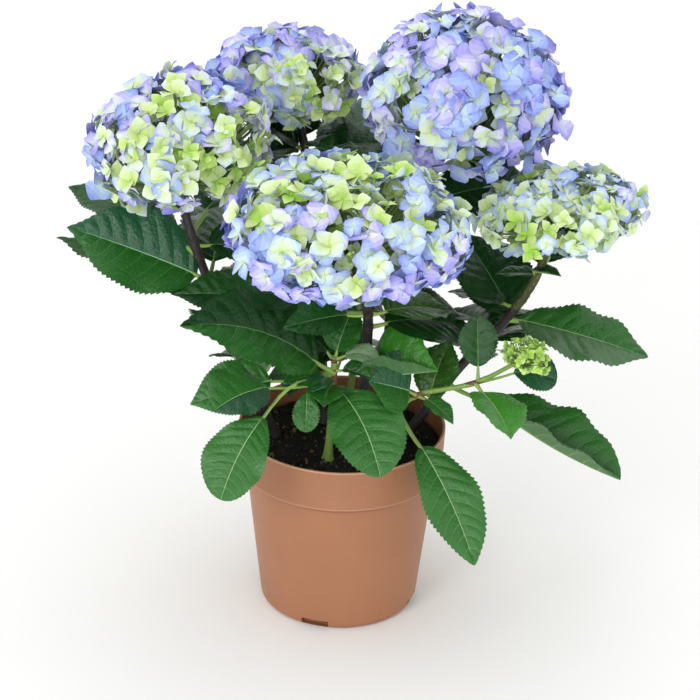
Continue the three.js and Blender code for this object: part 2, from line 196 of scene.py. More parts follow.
def joined(name, items, materials, cadNodes, sharpAngle=50):
    points, faces, slots = gathered(items)
    mesh = bpy.data.meshes.new(name)
    mesh.vertices.add(len(points))
    mesh.vertices.foreach_set("co", (points * mm).ravel())
    mesh.loops.add(faces.size)
    mesh.loops.foreach_set("vertex_index", faces.ravel().astype(np.int32))
    mesh.polygons.add(len(faces))
    mesh.polygons.foreach_set("loop_start", np.arange(0, faces.size, 3, dtype=np.int32))
    for material in materials:
        mesh.materials.append(material)
    mesh.polygons.foreach_set("material_index", slots.astype(np.int32))
    mesh.update(calc_edges=True)
    mesh.validate()
    piece = bpy.data.objects.new(name, mesh)
    bpy.context.collection.objects.link(piece)
    pickOnly(piece)
    bpy.ops.object.shade_smooth_by_angle(angle=math.radians(sharpAngle))
    declare(piece, cadNodes)
    print(name, len(faces), "triangles")


def declare(piece, cadNodes):
    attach(piece, "root")
    if cadNodes:
        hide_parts(*cadNodes)


def addLumps(piece, lumps, direction="NORMAL"):
    # cloudy relief: size and height of the lumps in mm
    texture = bpy.data.textures.new(lumps["name"], "CLOUDS")
    texture.noise_scale = lumps["size"] * mm
    texture.noise_depth = lumps["detail"]
    relief = piece.modifiers.new("relief", "DISPLACE")
    relief.texture = texture
    relief.texture_coords = "LOCAL"
    relief.direction = direction
    relief.strength = lumps["height"] * mm
    bpy.ops.object.modifier_apply(modifier=relief.name)


def tube(centres, radii, sides):
    # a closed round rod along its centres
    centres = np.asarray(centres, float)
    along = np.gradient(centres, axis=0)
    along /= np.linalg.norm(along, axis=1)[:, None]
    side = np.cross(along, [0.31, 0.95, 0.02])
    side /= np.linalg.norm(side, axis=1)[:, None]
    front = np.cross(along, side)
    turns = np.arange(sides) * 2 * math.pi / sides
    ring = (side[:, None] * np.cos(turns)[None, :, None] + front[:, None] * np.sin(turns)[None, :, None])
    points = (centres[:, None] + ring * np.asarray(radii)[:, None, None]).reshape(-1, 3)
    rings = len(centres)
    faces = []
    for i in range(rings - 1):
        for j in range(sides):
            a, b = i * sides + j, i * sides + (j + 1) % sides
            faces += [(a, b, b + sides), (a, b + sides, a + sides)]
    points = np.vstack([points, centres[0], centres[-1]])
    for j in range(sides):
        a, b = j, (j + 1) % sides
        faces.append((b, a, rings * sides))
        faces.append(((rings - 1) * sides + a, (rings - 1) * sides + b, rings * sides + 1))
    return points, np.array(faces), np.zeros(len(faces), int)


# the growing rule, as in the model

def draws(seed):
    state = seed
    while True:
        state = (state * 1664525 + 1013904223) % 4294967296
        yield state / 4294967296


def between(pair, share):
    return (1 - share) * pair[0] + share * pair[1]


def stray(draw, spread):
    return spread * (next(draw) - 0.5)


def anyTurn(draw):
    return 6.3 * next(draw)  # just over a full turn


def direction(heading, rise):
    h, r = math.radians(heading), math.radians(rise)
    return np.array([math.cos(r) * math.cos(h), math.cos(r) * math.sin(h), math.sin(r)])


pot = {
    "height": 131, "rimRadius": 70, "bandHeight": 30, "bandDraft": 1.5, "bandStep": 3.5,
    "footRadius": 53.5, "footRound": 5, "wall": 1.8, "lip": 0.7, "bandEdge": 0.8, "sides": 144,
    "slots": 4, "firstSlot": -107, "slotWidth": 19, "slotDepth": 12, "slotLow": 1, "slotHigh": 6,
}
soilTop = 118

# foot and tip: radius, bare: no leaves below this height, top: the highest leaf, tries: leaves that the
# rule tries to add, span: the headings they may have
stems = [
    {"name": "left", "foot": 4, "tip": 2.4, "bare": 150, "top": 296, "tries": 24, "span": (55, 108),
     "points": [(-46, 5, soilTop), (-70, 3, 180), (-92, 0, 238), (-107, -2, 290), (-110, 0, 335)]},
    {"name": "back", "foot": 4, "tip": 2.4, "bare": 150, "top": 316, "tries": 30, "span": (35, 150),
     "points": [(-12, 26, soilTop), (-18, 42, 200), (-26, 62, 280), (-38, 90, 343)]},
    {"name": "back_right", "foot": 4.2, "tip": 2.6, "bare": 150, "top": 292, "tries": 30, "span": (15, 100),
     "points": [(27, 21, soilTop), (31, 28, 190), (44, 34, 260), (75, 42, 354)]},
    {"name": "centre", "foot": 4.2, "tip": 2.6, "bare": 150, "top": 270, "tries": 0, "span": (0, 0),
     "points": [(13, -7, soilTop), (15, -22, 195), (14, -44, 245), (1, -97, 319)]},
    {"name": "right", "foot": 3.8, "tip": 2.2, "bare": 146, "top": 274, "tries": 24, "span": (25, 110),
     "points": [(42, 4, soilTop), (76, 2, 172), (107, 0, 212), (126, -6, 248), (139, -16, 299)]},
    {"name": "side_shoot", "foot": 3, "tip": 1.8, "bare": 134, "top": 196, "tries": 0, "span": (0, 0),
     "points": [(27, -24, soilTop), (32, -29, 148), (48, -34, 171), (87, -45, 188), (119, -50, 210)]},
    {"name": "young_shoot", "foot": 2.8, "tip": 1.8, "bare": 132, "top": 198, "tries": 0, "span": (0, 0),
     "points": [(-9, -26, soilTop), (-7, -30, 160), (-6, -32, 200)]},
    {"name": "rear_shoot", "foot": 2.8, "tip": 1.8, "bare": 134, "top": 206, "tries": 50, "span": (20, 170),
     "points": [(4, 46, soilTop), (8, 62, 165), (6, 76, 210)]},
]
stemNamed = {stem["name"]: stem for stem in stems}
flare = {"radius": 1.6, "height": 5}

# height on the stem, heading, rise, stalk, length, width, droop, roll, and its green in leafGreens
leaves = {
    "left": [
        (236, 175, 26, 8, 92, 58, 15, -45, 2),
        (254, 148, 16, 22, 88, 54, 20, -22, 1),
        (212, 153, 17, 22, 109, 38, 15, -10, 1),
        (262, 20, -5, 10, 50, 38, 25, 20, 0),
    ],
    "back": [
        (300, -33, 12, 14, 34, 30, 20, 0, 1),
        (236, -54, -42, 14, 40, 36, 25, 0, 0),
        (222, 9, -30, 14, 58, 36, 30, 0, 0),
        (180, -120, -26, 12, 40, 34, 30, 0, 0),
    ],
    "back_right": [
        (278, 22, 10, 14, 66, 46, 15, 15, 0),
        (190, -8, 15, 12, 28, 28, 30, 0, 0),
        (176, -178, -4, 12, 36, 34, 30, 0, 0),
    ],
    "centre": [
        (232, 171, 7, 42, 89, 50, 20, -13, 1),
        (190, -24, 30, 12, 44, 44, 30, 25, 2),
        (220, 34, -2, 14, 72, 50, 50, 15, 0),
        (232, -165, 5, 14, 44, 34, 25, -20, 1),
    ],
    "right": [
        (213, -9, 1, 8, 90, 48, 25, 14, 2),
        (213, 126, 40, 8, 62, 60, 15, 0, 0),
        (246, -30, 12, 4, 22, 14, 15, 0, 1),
        (246, 172, 2, 4, 28, 16, 15, 0, 1),
        (162, -22, -9, 26, 107, 52, 25, 16, 2),
    ],
    "side_shoot": [
        (189, 97, 76, 10, 40, 28, 10, 0, 2),
        (188, -56, -11, 6, 46, 42, 30, 15, 3),
        (174, 60, 50, 8, 34, 26, 15, 0, 1),
        (172, -46, 2, 8, 28, 16, 40, 0, 3),
        (172, -149, 36, 8, 28, 38, 20, -10, 4),
        (188, 6, -2, 16, 36, 26, 20, 15, 4),
        (158, -52, -31, 30, 88, 48, 30, 10, 3),
    ],
    "young_shoot": [
        (186, -154, 34, 14, 109, 52, 25, -22, 1),
        (186, -172, -6, 42, 56, 40, 20, -35, 2),
        (180, -158, 0, 42, 42, 38, 25, -30, 2),
        (172, -137, -15, 56, 62, 46, 35, -20, 3),
        (176, -121, -30, 14, 26, 16, 25, 0, 3),
        (170, -66, -2, 10, 68, 54, 45, 6, 3),
        (186, -120, 5, 10, 18, 18, 30, 0, 4),
        (184, -153, 12, 8, 30, 26, 25, -10, 2),
        (186, 165, -6, 16, 32, 28, 25, -15, 1),
        (188, -24, 9, 6, 22, 20, 25, 10, 2),
        (195, 57, 63, 6, 34, 30, 20, 0, 2),
        (195, 127, 22, 8, 34, 28, 20, 0, 0),
    ],
}
leafKeys = ["height", "heading", "rise", "stalk", "length", "width", "droop", "roll", "green"]

# flattened balls on the stems' ends: height above it and depth under it, tilt in degrees
blooms = [
    {"name": "left", "radius": 63, "height": 46, "under": 36, "tilt": 10, "towards": 200},
    {"name": "back", "radius": 47, "height": 33, "under": 25, "tilt": 0, "towards": 110},
    {"name": "back_right", "radius": 68, "height": 58, "under": 54, "tilt": 0, "towards": 40},
    {"name": "centre", "radius": 79, "height": 45, "under": 32, "tilt": 0, "towards": 265},
    {"name": "right", "radius": 56, "height": 23, "under": 16, "tilt": 5, "towards": 180},
    {"name": "side_shoot", "radius": 17, "height": 12, "under": 7, "tilt": 15, "towards": 0},
]

growth = {
    "aboveBare": 14, "belowTop": 20, "rise": (-20, 30), "riseSpread": 20, "stalk": (12, 26),
    "length": (66, 104), "width": 0.58, "droop": (20, 45), "roll": (-15, 15),
    "leafRoom": 12, "headRoom": 9, "stemRoom": 9, "overhang": 84,
    "stemPlaces": 24, "placeRows": 8, "placeSides": 2,
}
bladeFold = 12


def stemPoint(stem, share):
    points = [np.array(point, float) for point in stem["points"]]
    place = share * (len(points) - 1)
    i = min(int(place), len(points) - 2)
    w = place - i
    before = points[i - 1] if i > 0 else 2 * points[0] - points[1]
    after = points[i + 2] if i + 2 < len(points) else 2 * points[-1] - points[-2]
    startSlope = 0.5 * (points[i + 1] - before)
    endSlope = 0.5 * (after - points[i])
    return ((2 * points[i] - 2 * points[i + 1] + startSlope + endSlope) * w ** 3
            + (-3 * points[i] + 3 * points[i + 1] - 2 * startSlope - endSlope) * w ** 2
            + startSlope * w + points[i])


def shareAt(stem, height):
    low, high = 0.0, 1.0
    for _ in range(30):
        middle = (low + high) / 2
        if stemPoint(stem, middle)[2] < height:
            low = middle
        else:
            high = middle
    return (low + high) / 2


def stemRadius(stem, height):
    foot, tip = stem["points"][0][2], stem["points"][-1][2]
    swell = flare["radius"] * math.exp(-(height - foot) / flare["height"])
    return between((stem["foot"], stem["tip"]), (height - foot) / (tip - foot)) + swell


def halfWidth(along, blunt=0):
    # a blunt leaf is broadest beyond its middle and rounded at the tip
    swell = np.maximum(0, np.sin(np.pi * np.clip(along, 0, 1) ** (0.86 + 0.4 * blunt)))
    return 0.5 * swell ** (0.6 + 0.3 * (1 - 1.3 * blunt) * along * along)


def bladeFrame(leaf, along, roll):
    # the midrib's place at each share of the length, and the directions across and off the blade
    turn, start = math.radians(leaf["droop"]), math.radians(leaf["rise"])
    slope = start - turn * along
    out = leaf["length"] / turn * (math.sin(start) - np.sin(slope))
    rise = leaf["length"] / turn * (np.cos(slope) - math.cos(start))
    ahead, side = direction(leaf["heading"], 0), direction(leaf["heading"] + 90, 0)
    centre = leaf["base"] + out[:, None] * ahead + rise[:, None] * np.array([0, 0, 1.0])
    face = -np.sin(slope)[:, None] * ahead + np.cos(slope)[:, None] * np.array([0, 0, 1.0])
    cosine, sine = np.cos(roll)[:, None], np.sin(roll)[:, None]
    return centre, side * cosine + face * sine, face * cosine - side * sine


def bladePoints(leaf, along, across):
    roll = np.full(len(along), math.radians(leaf["roll"]))
    centre, tilted, normal = bladeFrame(leaf, along, roll)
    reach = halfWidth(along) * leaf["width"]
    fold = math.radians(bladeFold)
    return (centre + (across * reach * math.cos(fold))[:, None] * tilted
            + (np.abs(across) * reach * math.sin(fold))[:, None] * normal)


def leafOn(stem, row):
    leaf = dict(zip(leafKeys, row))
    leaf["root"] = stemPoint(stem, shareAt(stem, leaf["height"]))
    leaf["base"] = leaf["root"] + direction(leaf["heading"], leaf["rise"]) * leaf["stalk"]
    return leaf


def leafPlaces(leaf):
    rows, sides = growth["placeRows"], growth["placeSides"]
    along = np.repeat(np.arange(rows + 1) / rows, 2 * sides + 1)
    across = np.tile(np.arange(-sides, sides + 1) / sides, rows + 1)
    return bladePoints(leaf, along, across)


def nearest(places, others):
    return np.sqrt(((places[:, None] - others[None]) ** 2).sum(2)).min(1)


def hasRoom(places, leafRoom):
    rim = pot["height"] + growth["stemRoom"]
    if ((places[:, 2] < rim) & (np.hypot(places[:, 0], places[:, 1]) < growth["overhang"])).any():
        return False
    for bloom in blooms:
        offset = places - np.array(stemNamed[bloom["name"]]["points"][-1], float)
        depth = np.where(offset[:, 2] > 0, bloom["height"], bloom["under"]) + growth["headRoom"]
        radius = bloom["radius"] + growth["headRoom"]
        if ((np.hypot(offset[:, 0], offset[:, 1]) / radius) ** 2 + (offset[:, 2] / depth) ** 2 < 1).any():
            return False
    if nearest(places, np.concatenate(taken)).min() < leafRoom:
        return False
    return nearest(places[2 * growth["placeSides"] + 1:], stemPlaces).min() >= growth["stemRoom"]


def tryLeaf(stem, row, leafRoom):
    # a leaf grows only where it stays clear of the pot, heads, stems and other leaves
    leaf = leafOn(stem, row)
    places = leafPlaces(leaf)
    if hasRoom(places, leafRoom):
        grown[stem["name"]].append(leaf)
        taken.append(places)


grown = {stem["name"]: [leafOn(stem, row) for row in leaves.get(stem["name"], [])] for stem in stems}
taken = [leafPlaces(leaf) for rows in grown.values() for leaf in rows]
stemPlaces = np.array([stemPoint(stem, i / growth["stemPlaces"])
                       for stem in stems for i in range(growth["stemPlaces"] + 1)])
for stem in stems:
    draw = draws(len(stem["name"]) * 101)
    for _ in range(stem["tries"]):
        share = next(draw)
        height = between((stem["bare"] + growth["aboveBare"], stem["top"] - growth["belowTop"]), share)
        heading = between(stem["span"], next(draw))
        rise = between(growth["rise"], share) + stray(draw, growth["riseSpread"])
        length = between(growth["length"], next(draw))
        reach = between(growth["stalk"], next(draw))
        droop = between(growth["droop"], next(draw))
        roll = between(growth["roll"], next(draw))
        tryLeaf(stem, (height, heading, rise, reach, length, length * growth["width"], droop, roll, 1),
                growth["leafRoom"])
print("leaves grown:", {name: len(rows) for name, rows in grown.items()})

# smaller leaves that fill the crown, most of them behind: headings allowed on each stem
finer = {
    "spans": {"left": (50, 130), "back": (0, 360), "back_right": (0, 360), "centre": (30, 150),
              "right": (60, 130), "rear_shoot": (0, 360), "young_shoot": (40, 140)},
    "tries": 60, "aboveBare": 4, "belowTop": 6, "length": (28, 66), "width": (0.52, 0.72), "stalk": (8, 20),
    "rise": (-30, 30), "riseSpread": 20, "droop": (15, 50), "roll": (-20, 20), "leafRoom": 8, "seed": 311,
}
for stem in stems:
    draw = draws(finer["seed"] + len(stem["name"]))
    low, high = stem["bare"] + finer["aboveBare"], stem["top"] - finer["belowTop"]
    for _ in range(finer["tries"] if stem["name"] in finer["spans"] else 0):
        share = next(draw)
        length = between(finer["length"], next(draw))
        tryLeaf(stem, (
            between((low, high), share), between(finer["spans"][stem["name"]], next(draw)),
            between(finer["rise"], share) + stray(draw, finer["riseSpread"]),
            between(finer["stalk"], next(draw)), length, length * between(finer["width"], next(draw)),
            between(finer["droop"], next(draw)), between(finer["roll"], next(draw)), int(2 * next(draw)),
        ), finer["leafRoom"])

# more leaves with a place of their own, in the same columns as the first
moreLeaves = {
    "young_shoot": [
        (196, -12, 28, 8, 27, 15, 75, 25, 5),
        (178, -100, 14, 8, 26, 26, 40, 0, 2),
    ],
    "back": [
        (300, 170, 38, 6, 46, 42, 30, 0, 0),
        (292, -170, 4, 8, 40, 36, 30, 0, 1),
        (302, -155, 10, 6, 26, 30, 20, 0, 0),
        (300, 10, 12, 8, 50, 38, 20, 10, 0),
        (306, 102, 16, 6, 28, 30, 20, 0, 0),
        (286, -95, -18, 10, 40, 36, 25, 0, 1),
    ],
    "right": [
        (205, 127, -3, 8, 60, 42, 20, 8, 0),
        (222, 150, 6, 8, 44, 34, 20, 8, 0),
    ],
    "centre": [
        (232, 36, -6, 14, 58, 36, 20, 14, 8),
    ],
}
for stemName, rows in moreLeaves.items():
    grown[stemName] += [leafOn(stemNamed[stemName], row) for row in rows]
print("with finer ones:", {name: len(rows) for name, rows in grown.items()})


# leaf blades

def zipEdges(inner, outer, place):
    # triangles between two rows of points that run the same way
    faces, i, j = [], 0, 0
    while i < len(inner) - 1 or j < len(outer) - 1:
        innerNext = i < len(inner) - 1
        if innerNext and (j == len(outer) - 1 or place[inner[i + 1]] < place[outer[j + 1]]):
            faces.append((inner[i], inner[i + 1], outer[j]))
            i += 1
        else:
            faces.append((inner[i], outer[j + 1], outer[j]))
            j += 1
    return faces


# shares of the blade's length or half width
bladeCut = {
    "columns": [0.26, 0.50, 0.72, 0.89],
    "firstRow": 0.018, "lastRow": 0.985, "firstVein": 0.06, "veinSpan": 0.80, "veinHalf": 0.0027,
    "slant": 0.52, "slantUneven": 0.03,                 # side veins run towards the tip
    "ribFoot": 0.010, "ribTip": 0.002, "ribMost": 0.2,  # half width of the midrib
    "firstTooth": 0.03, "teethSpan": 0.95, "toothTip": 0.74, "toothOut": 0.40,
}


def cutBlade(veinPairs, teeth, shift):
    # One flat blade with toothed edge and side veins. Each point has its share along, its signed share
    # across, how far a tooth carries it out, how the tissue bulges between veins, and its layer.
    veins = [bladeCut["firstVein"] + bladeCut["veinSpan"] * (i / (veinPairs - 1)) ** 0.95
             + shift * math.sin(5.0 * i + 1) for i in range(veinPairs)]
    half, last = bladeCut["veinHalf"], bladeCut["lastRow"]
    rows, previous = [(bladeCut["firstRow"], 0, 0.0)], bladeCut["firstRow"]
    for vein in veins:
        gap = vein - half - previous
        rows += [(previous + gap * k / 4, 0, math.sin(math.pi * k / 4)) for k in (1, 2, 3)]
        rows += [(vein, -1, 0.0), (vein, 1, 0.0)]
        previous = vein + half
    rows += [(previous + (last - previous) * k / 4, 0, math.sin(math.pi * k / 4)) for k in (1, 2, 3, 4)]
    points = []  # along, across, tooth, bulge, layer
    top = []     # triangles of the upper face with their zone: 0 panel, 1 vein, 2 midrib

    def slanted(start, share, side):
        slant = bladeCut["slant"] + bladeCut["slantUneven"] * side
        return start + slant * start ** 0.6 * (1 - start) * share ** 1.3

    baseIndex, apexIndex = 0, 1
    points += [(0.0, 0.0, 0.0, 0.0, 0), (1.0, 0.0, 0.0, 0.0, 0)]
    spine = []
    for start, vein, bulge in rows:
        spine.append(len(points))
        points.append((start + vein * half, 0.0, 0.0, 0.0, 1))
    for side in (1, -1):
        grid = []
        for start, vein, bulge in rows:
            wide = 0.56 * max(0.15, math.sin(math.pi * start ** 0.86) ** 0.6)  # about, at this row
            ribHalf = (bladeCut["ribFoot"] * (1 - start) + bladeCut["ribTip"]) / wide
            shares = [min(bladeCut["ribMost"], ribHalf)] + bladeCut["columns"]
            line = []
            for share in shares:
                along = slanted(start, share, side) + vein * half * (1 - 0.6 * share)
                line.append(len(points))
                swell = bulge * math.sin(math.pi * min(1, share * 1.05) ** 0.8)
                points.append((along, side * share, 0.0, swell, 1))
            grid.append(line)
        edge = [baseIndex]
        for k in range(teeth):
            at = bladeCut["firstTooth"] + bladeCut["teethSpan"] * k / teeth
            tip = at + bladeCut["teethSpan"] * bladeCut["toothTip"] / teeth
            edge += [len(points), len(points) + 1]
            points.append((at, side * 0.99, 0.0, 0.0, 0))
            points.append((tip, side, side * bladeCut["toothOut"] / teeth, 0.0, 0))
        edge.append(apexIndex)
        faces = []
        for i in range(len(rows) - 1):
            isVein = rows[i][1] == -1
            ribbon = [spine[i]] + grid[i]
            following = [spine[i + 1]] + grid[i + 1]
            for j in range(len(ribbon) - 1):
                zone = 2 if j == 0 else (1 if isVein and j < 5 else 0)
                a, b, c, d = ribbon[j], following[j], following[j + 1], ribbon[j + 1]
                faces += [((a, b, c), zone), ((a, c, d), zone)]
        for j in range(len(grid[0])):
            ribbon, following = [spine[0]] + grid[0], [spine[-1]] + grid[-1]
            zone = 2 if j == 0 else 0
            faces.append(((baseIndex, ribbon[j], ribbon[j + 1]), zone))
            faces.append(((following[j], apexIndex, following[j + 1]), zone))
        inner = [line[-1] for line in grid]
        along = [point[0] for point in points]
        faces += [(face, 0) for face in zipEdges(inner, edge, along)]
        if side < 0:
            faces = [((a, c, b), zone) for (a, b, c), zone in faces]
        top += faces
    # the lower face is the same with its own points, joined to the upper one round the margin
    lower = {}
    for i, point in enumerate(list(points)):
        if point[4] == 1:
            lower[i] = len(points)
            points.append(point[:4] + (-1,))
    bottom = [((lower.get(a, a), lower.get(c, c), lower.get(b, b)), 3 if zone == 0 else 4)
              for (a, b, c), zone in top]
    array = np.array(points, float)
    faces = np.array([face for face, _ in top + bottom])
    zones = np.array([zone for _, zone in top + bottom])
    isSpine = np.isin(np.arange(len(array)), spine + [lower[i] for i in spine])
    return {"along": array[:, 0], "across": array[:, 1], "tooth": array[:, 2], "bulge": array[:, 3],
            "layer": array[:, 4], "faces": faces, "zones": zones, "spine": isSpine}


bladeLook = {
    "thickness": 0.45,      # mm
    "bulge": 0.014,         # of the length, between veins
    "ribDepth": 0.9,        # mm, the midrib stands out below
    "wave": 0.026,          # of the length, at the margin
    "waves": 1.6,           # at least, along a margin, and up to twice as many
    "twist": 10,            # degrees, base to tip
    "sway": 0.03,           # of the length, sideways
    "narrow": 0.34,         # the tip is drawn out: this much slimmer at its end
    "narrowFrom": 0.7,
    "crimp": 0.006,         # of the length, short waves over the whole blade
    "crimpAlong": 23, "crimpAcross": 7,
}
# Leaves with a shape of their own, by their number on the stem. halves: the greens of its two halves,
# painted lighter and darker for the light and shade falling on them, blunt: 1 for a rounded tip,
# uneven: one half narrower by this share, fold: degrees at the midrib, sag: of the stalk's length,
# moved: mm. The other names are the columns above.
ownShape = {
    "left": {
        0: {"halves": (4, 2)},
        1: {"roll": -14, "width": 40, "moved": (0, 14, 0)},
        2: {"width": 30},
    },
    "back_right": {
        0: {"roll": 34, "width": 54, "moved": (0, -4, 3)},
    },
    "centre": {
        0: {"halves": (1, 0)},
        # green 6 here is painted light shining through the folded blade
        1: {"fold": 54, "roll": 8, "width": 68, "length": 50, "droop": 14, "rise": 26, "green": 6,
            "moved": (-5, 0, -17)},
        2: {"heading": 29, "rise": -4, "length": 74, "width": 50, "droop": 28, "roll": 21},
    },
    "right": {
        0: {"rise": -8, "droop": 8, "width": 54, "halves": (7, 2), "blunt": 0.35, "uneven": 0.15},
        1: {"length": 69, "moved": (7, 0, -4)},
        2: {"fold": 30, "moved": (-6, 0, 6)},
        3: {"moved": (5, 0, 3)},
        4: {"heading": -22, "rise": -30, "length": 109, "width": 61, "droop": -16, "fold": 46, "roll": -4,
            "blunt": 0.75},
    },
    "side_shoot": {
        0: {"green": 1, "length": 36, "width": 26, "blunt": 0.4},
        # green 6 here is painted light shining through the blade
        1: {"heading": -58, "rise": -12, "length": 41, "width": 50, "fold": 10, "roll": -22, "green": 6,
            "moved": (1, 0, -3)},
        2: {"length": 42, "width": 32, "rise": 58, "green": 8, "moved": (2, 0, -12)},
        4: {"heading": -165, "rise": 30, "length": 30, "width": 48, "fold": 20, "roll": -40,
            "halves": (4, 3)},
        5: {"length": 30, "width": 28, "roll": 38, "blunt": 1, "moved": (9, 0, 8)},
        6: {"width": 41, "blunt": 0.35},
    },
    "young_shoot": {
        0: {"halves": (0, 2), "rise": 50, "length": 114, "width": 54, "droop": 48, "roll": -42},
        1: {"green": 3},
        2: {"heading": -150, "rise": 2, "length": 40, "width": 56, "droop": 26, "roll": -6, "halves": (3, 4),
            "blunt": 0.7, "moved": (-4, -8, 6)},
        3: {"heading": -127, "rise": -32, "length": 63, "width": 44, "droop": 26, "roll": -14, "blunt": 1,
            "sag": -0.3, "moved": (-5, 0, 14)},
        4: {"heading": -90, "rise": -42, "length": 27, "width": 18, "droop": 34, "blunt": 1,
            "moved": (-11, 0, 7)},
        5: {"heading": -62, "rise": -8, "length": 72, "width": 52, "blunt": 0.9, "moved": (0, 0, 8)},
        9: {"fold": 34},
    },
}


def shapeBlade(leaf, cut, draw):
    along, across, layer = cut["along"], cut["across"], cut["layer"]
    length = leaf["length"]
    twist = math.radians(bladeLook["twist"]) * (2 * next(draw) - 1)
    roll = math.radians(leaf["roll"]) + twist * (along - 0.4)
    centre, tilted, normal = bladeFrame(leaf, along, roll)
    drawnOut = np.clip((along - bladeLook["narrowFrom"]) / (1 - bladeLook["narrowFrom"]), 0, 1)
    blunt = leaf.get("blunt", 0)
    reach = halfWidth(along, blunt) * leaf["width"] * (1 - leaf.get("uneven", 0) * np.sign(across))
    reach *= 1 - (1 - blunt) * bladeLook["narrow"] * drawnOut ** 2 * (3 - 2 * drawnOut)
    fold = math.radians(leaf.get("fold", bladeFold))
    bulk, away = np.sin(math.pi * np.clip(along, 0, 1)), np.abs(across)
    out = across * reach * math.cos(fold) + cut["tooth"] * length * np.sqrt(bulk)
    rise = reach * math.sin(fold) * away * (1.3 - 0.35 * away)
    rise += length * bladeLook["bulge"] * cut["bulge"]
    phase, waves = anyTurn(draw), bladeLook["waves"] * (1 + next(draw))
    ripple = np.sin(2 * math.pi * waves * along + phase + 1.9 * np.sign(across))
    rise += length * bladeLook["wave"] * ripple * across ** 2 * bulk
    crimp = np.sin(bladeLook["crimpAlong"] * along + phase)
    crimp *= np.sin(bladeLook["crimpAcross"] * across + 2 * phase)
    rise += length * bladeLook["crimp"] * crimp * away
    rise += layer * bladeLook["thickness"] / 2
    rise -= (layer < 0) * cut["spine"] * bladeLook["ribDepth"] * (1.1 - along)
    sway = bladeLook["sway"] * length * (2 * next(draw) - 1) * np.sin(math.pi * along)
    return centre + (out + sway)[:, None] * tilted + rise[:, None] * normal


# the greens a leaf can have: blade, side veins, midrib
leafGreens = [
    ("#0D3A10", "#1C4D20", "#55794A"),
    ("#154A13", "#2B6626", "#74A05C"),
    ("#205E18", "#42843A", "#88B46E"),
    ("#306C29", "#5A964C", "#A2C786"),
    ("#1C5230", "#3B7A56", "#7FAE88"),
    ("#7C9C72", "#8FAE84", "#A9C497"),
    # painted light: a brighter green that stands for light shining through a blade
    ("#38861F", "#58993E", "#9CC67C"),
    ("#42693E", "#5C8654", "#8FB283"),
    ("#2E5A17", "#48762C", "#8CAF67"),
]
leafTints = len(leafGreens)


def waxyLeaf(name, hexColour, roughness, cellScale, shine=0.36):
    # cuticle: satin, its highlights broken up by a net of small veins and by soft puckers
    gloss = {"Roughness": roughness, "Specular IOR Level": shine}
    material, tree, shader = newMaterial(name, hexColour, gloss)
    cells = laidOn(tree, "ShaderNodeTexVoronoi", {"Scale": cellScale})
    pucker = laidOn(tree, "ShaderNodeTexNoise", {"Scale": 150.0, "Detail": 4.0, "Roughness": 0.6})
    tree.links.new(fade(tree, pucker.outputs["Fac"], 0.0, 1.0, roughness - 0.08, roughness + 0.14),
                   shader.inputs["Roughness"])
    height = addNode(tree, "ShaderNodeMath", {"operation": "MULTIPLY_ADD", 1: -0.6},
                     {0: cells.outputs["Distance"], 2: pucker.outputs["Fac"]})
    addRelief(tree, shader, height.outputs["Value"], 0.6, 0.0010)
    return material


# roughness, shine of the darkest green and of the others, for each of the three
leafParts = [
    ("waxy leaf green", 0.32, 0.3, 0.45),
    ("leaf vein", 0.4, 0.36, 0.36),
    ("leaf midrib", 0.45, 0.36, 0.36),
]
leafMaterials = [waxyLeaf(f"{part} {i + 1}", tints[column], roughness, 420, shine if i else darkShine)
                 for column, (part, roughness, darkShine, shine) in enumerate(leafParts)
                 for i, tints in enumerate(leafGreens)]
leafMaterials.append(waxyLeaf("downy leaf underside", "#557C4F", 0.6, 300))
leafMaterials.append(waxyLeaf("leaf rib underside", "#84A672", 0.55, 300))

largeBlades = [cutBlade(9, 25, 0.008), cutBlade(8, 22, -0.007), cutBlade(8, 24, 0.010)]
smallBlades = [cutBlade(6, 15, 0.008), cutBlade(5, 13, -0.008)]


def bladeItem(leaf, draw):
    cuts = largeBlades if leaf["length"] > 50 else smallBlades
    cut = cuts[int(next(draw) * len(cuts))]
    one, other = leaf.get("halves", (leaf["green"], leaf["green"]))
    green = np.where(cut["across"][cut["faces"]].mean(axis=1) > 0, other, one)
    slots = np.choose(cut["zones"], [green, leafTints + green, 2 * leafTints + green,
                                     3 * leafTints, 3 * leafTints + 1])
    return shapeBlade(leaf, cut, draw), cut["faces"], slots


leafDraw = draws(77)
leafGroups = [
    ("leafBladesFront", ["centre", "young_shoot", "side_shoot", "left"]),
    ("leafBladesRear", ["back", "back_right", "right", "rear_shoot"]),
]
for stemName, shapes in ownShape.items():
    for i, shape in shapes.items():
        grown[stemName][i].update(shape)
        grown[stemName][i]["base"] += np.array(shape.get("moved", (0, 0, 0)), float)
for name, stemNames in leafGroups:
    items = [bladeItem(leaf, leafDraw) for stemName in stemNames for leaf in grown[stemName]]
    joined(name, items, leafMaterials, [f"leaves_{stemName}" for stemName in stemNames])


# leaf stalks

stalkLook = {
    "thick": 1.9, "thin": 1.2, "sides": 8, "steps": 9,
    "sag": 0.05,                         # of its length
    "collar": 0.9, "collarLength": 2.5,  # it widens where it leaves the stem
    "least": 0.45, "fullLength": 150,    # a small leaf's stalk is slimmer
    # it runs on under the midrib: shares of the blade, how far below it there, and its radius
    "under": (0.06, 0.2, 0.4, 0.6, 0.8), "below": (0.9, 0.95, 0.75, 0.6, 0.5), "radii": (0.95, 0.7, 0.5, 0.3),
}


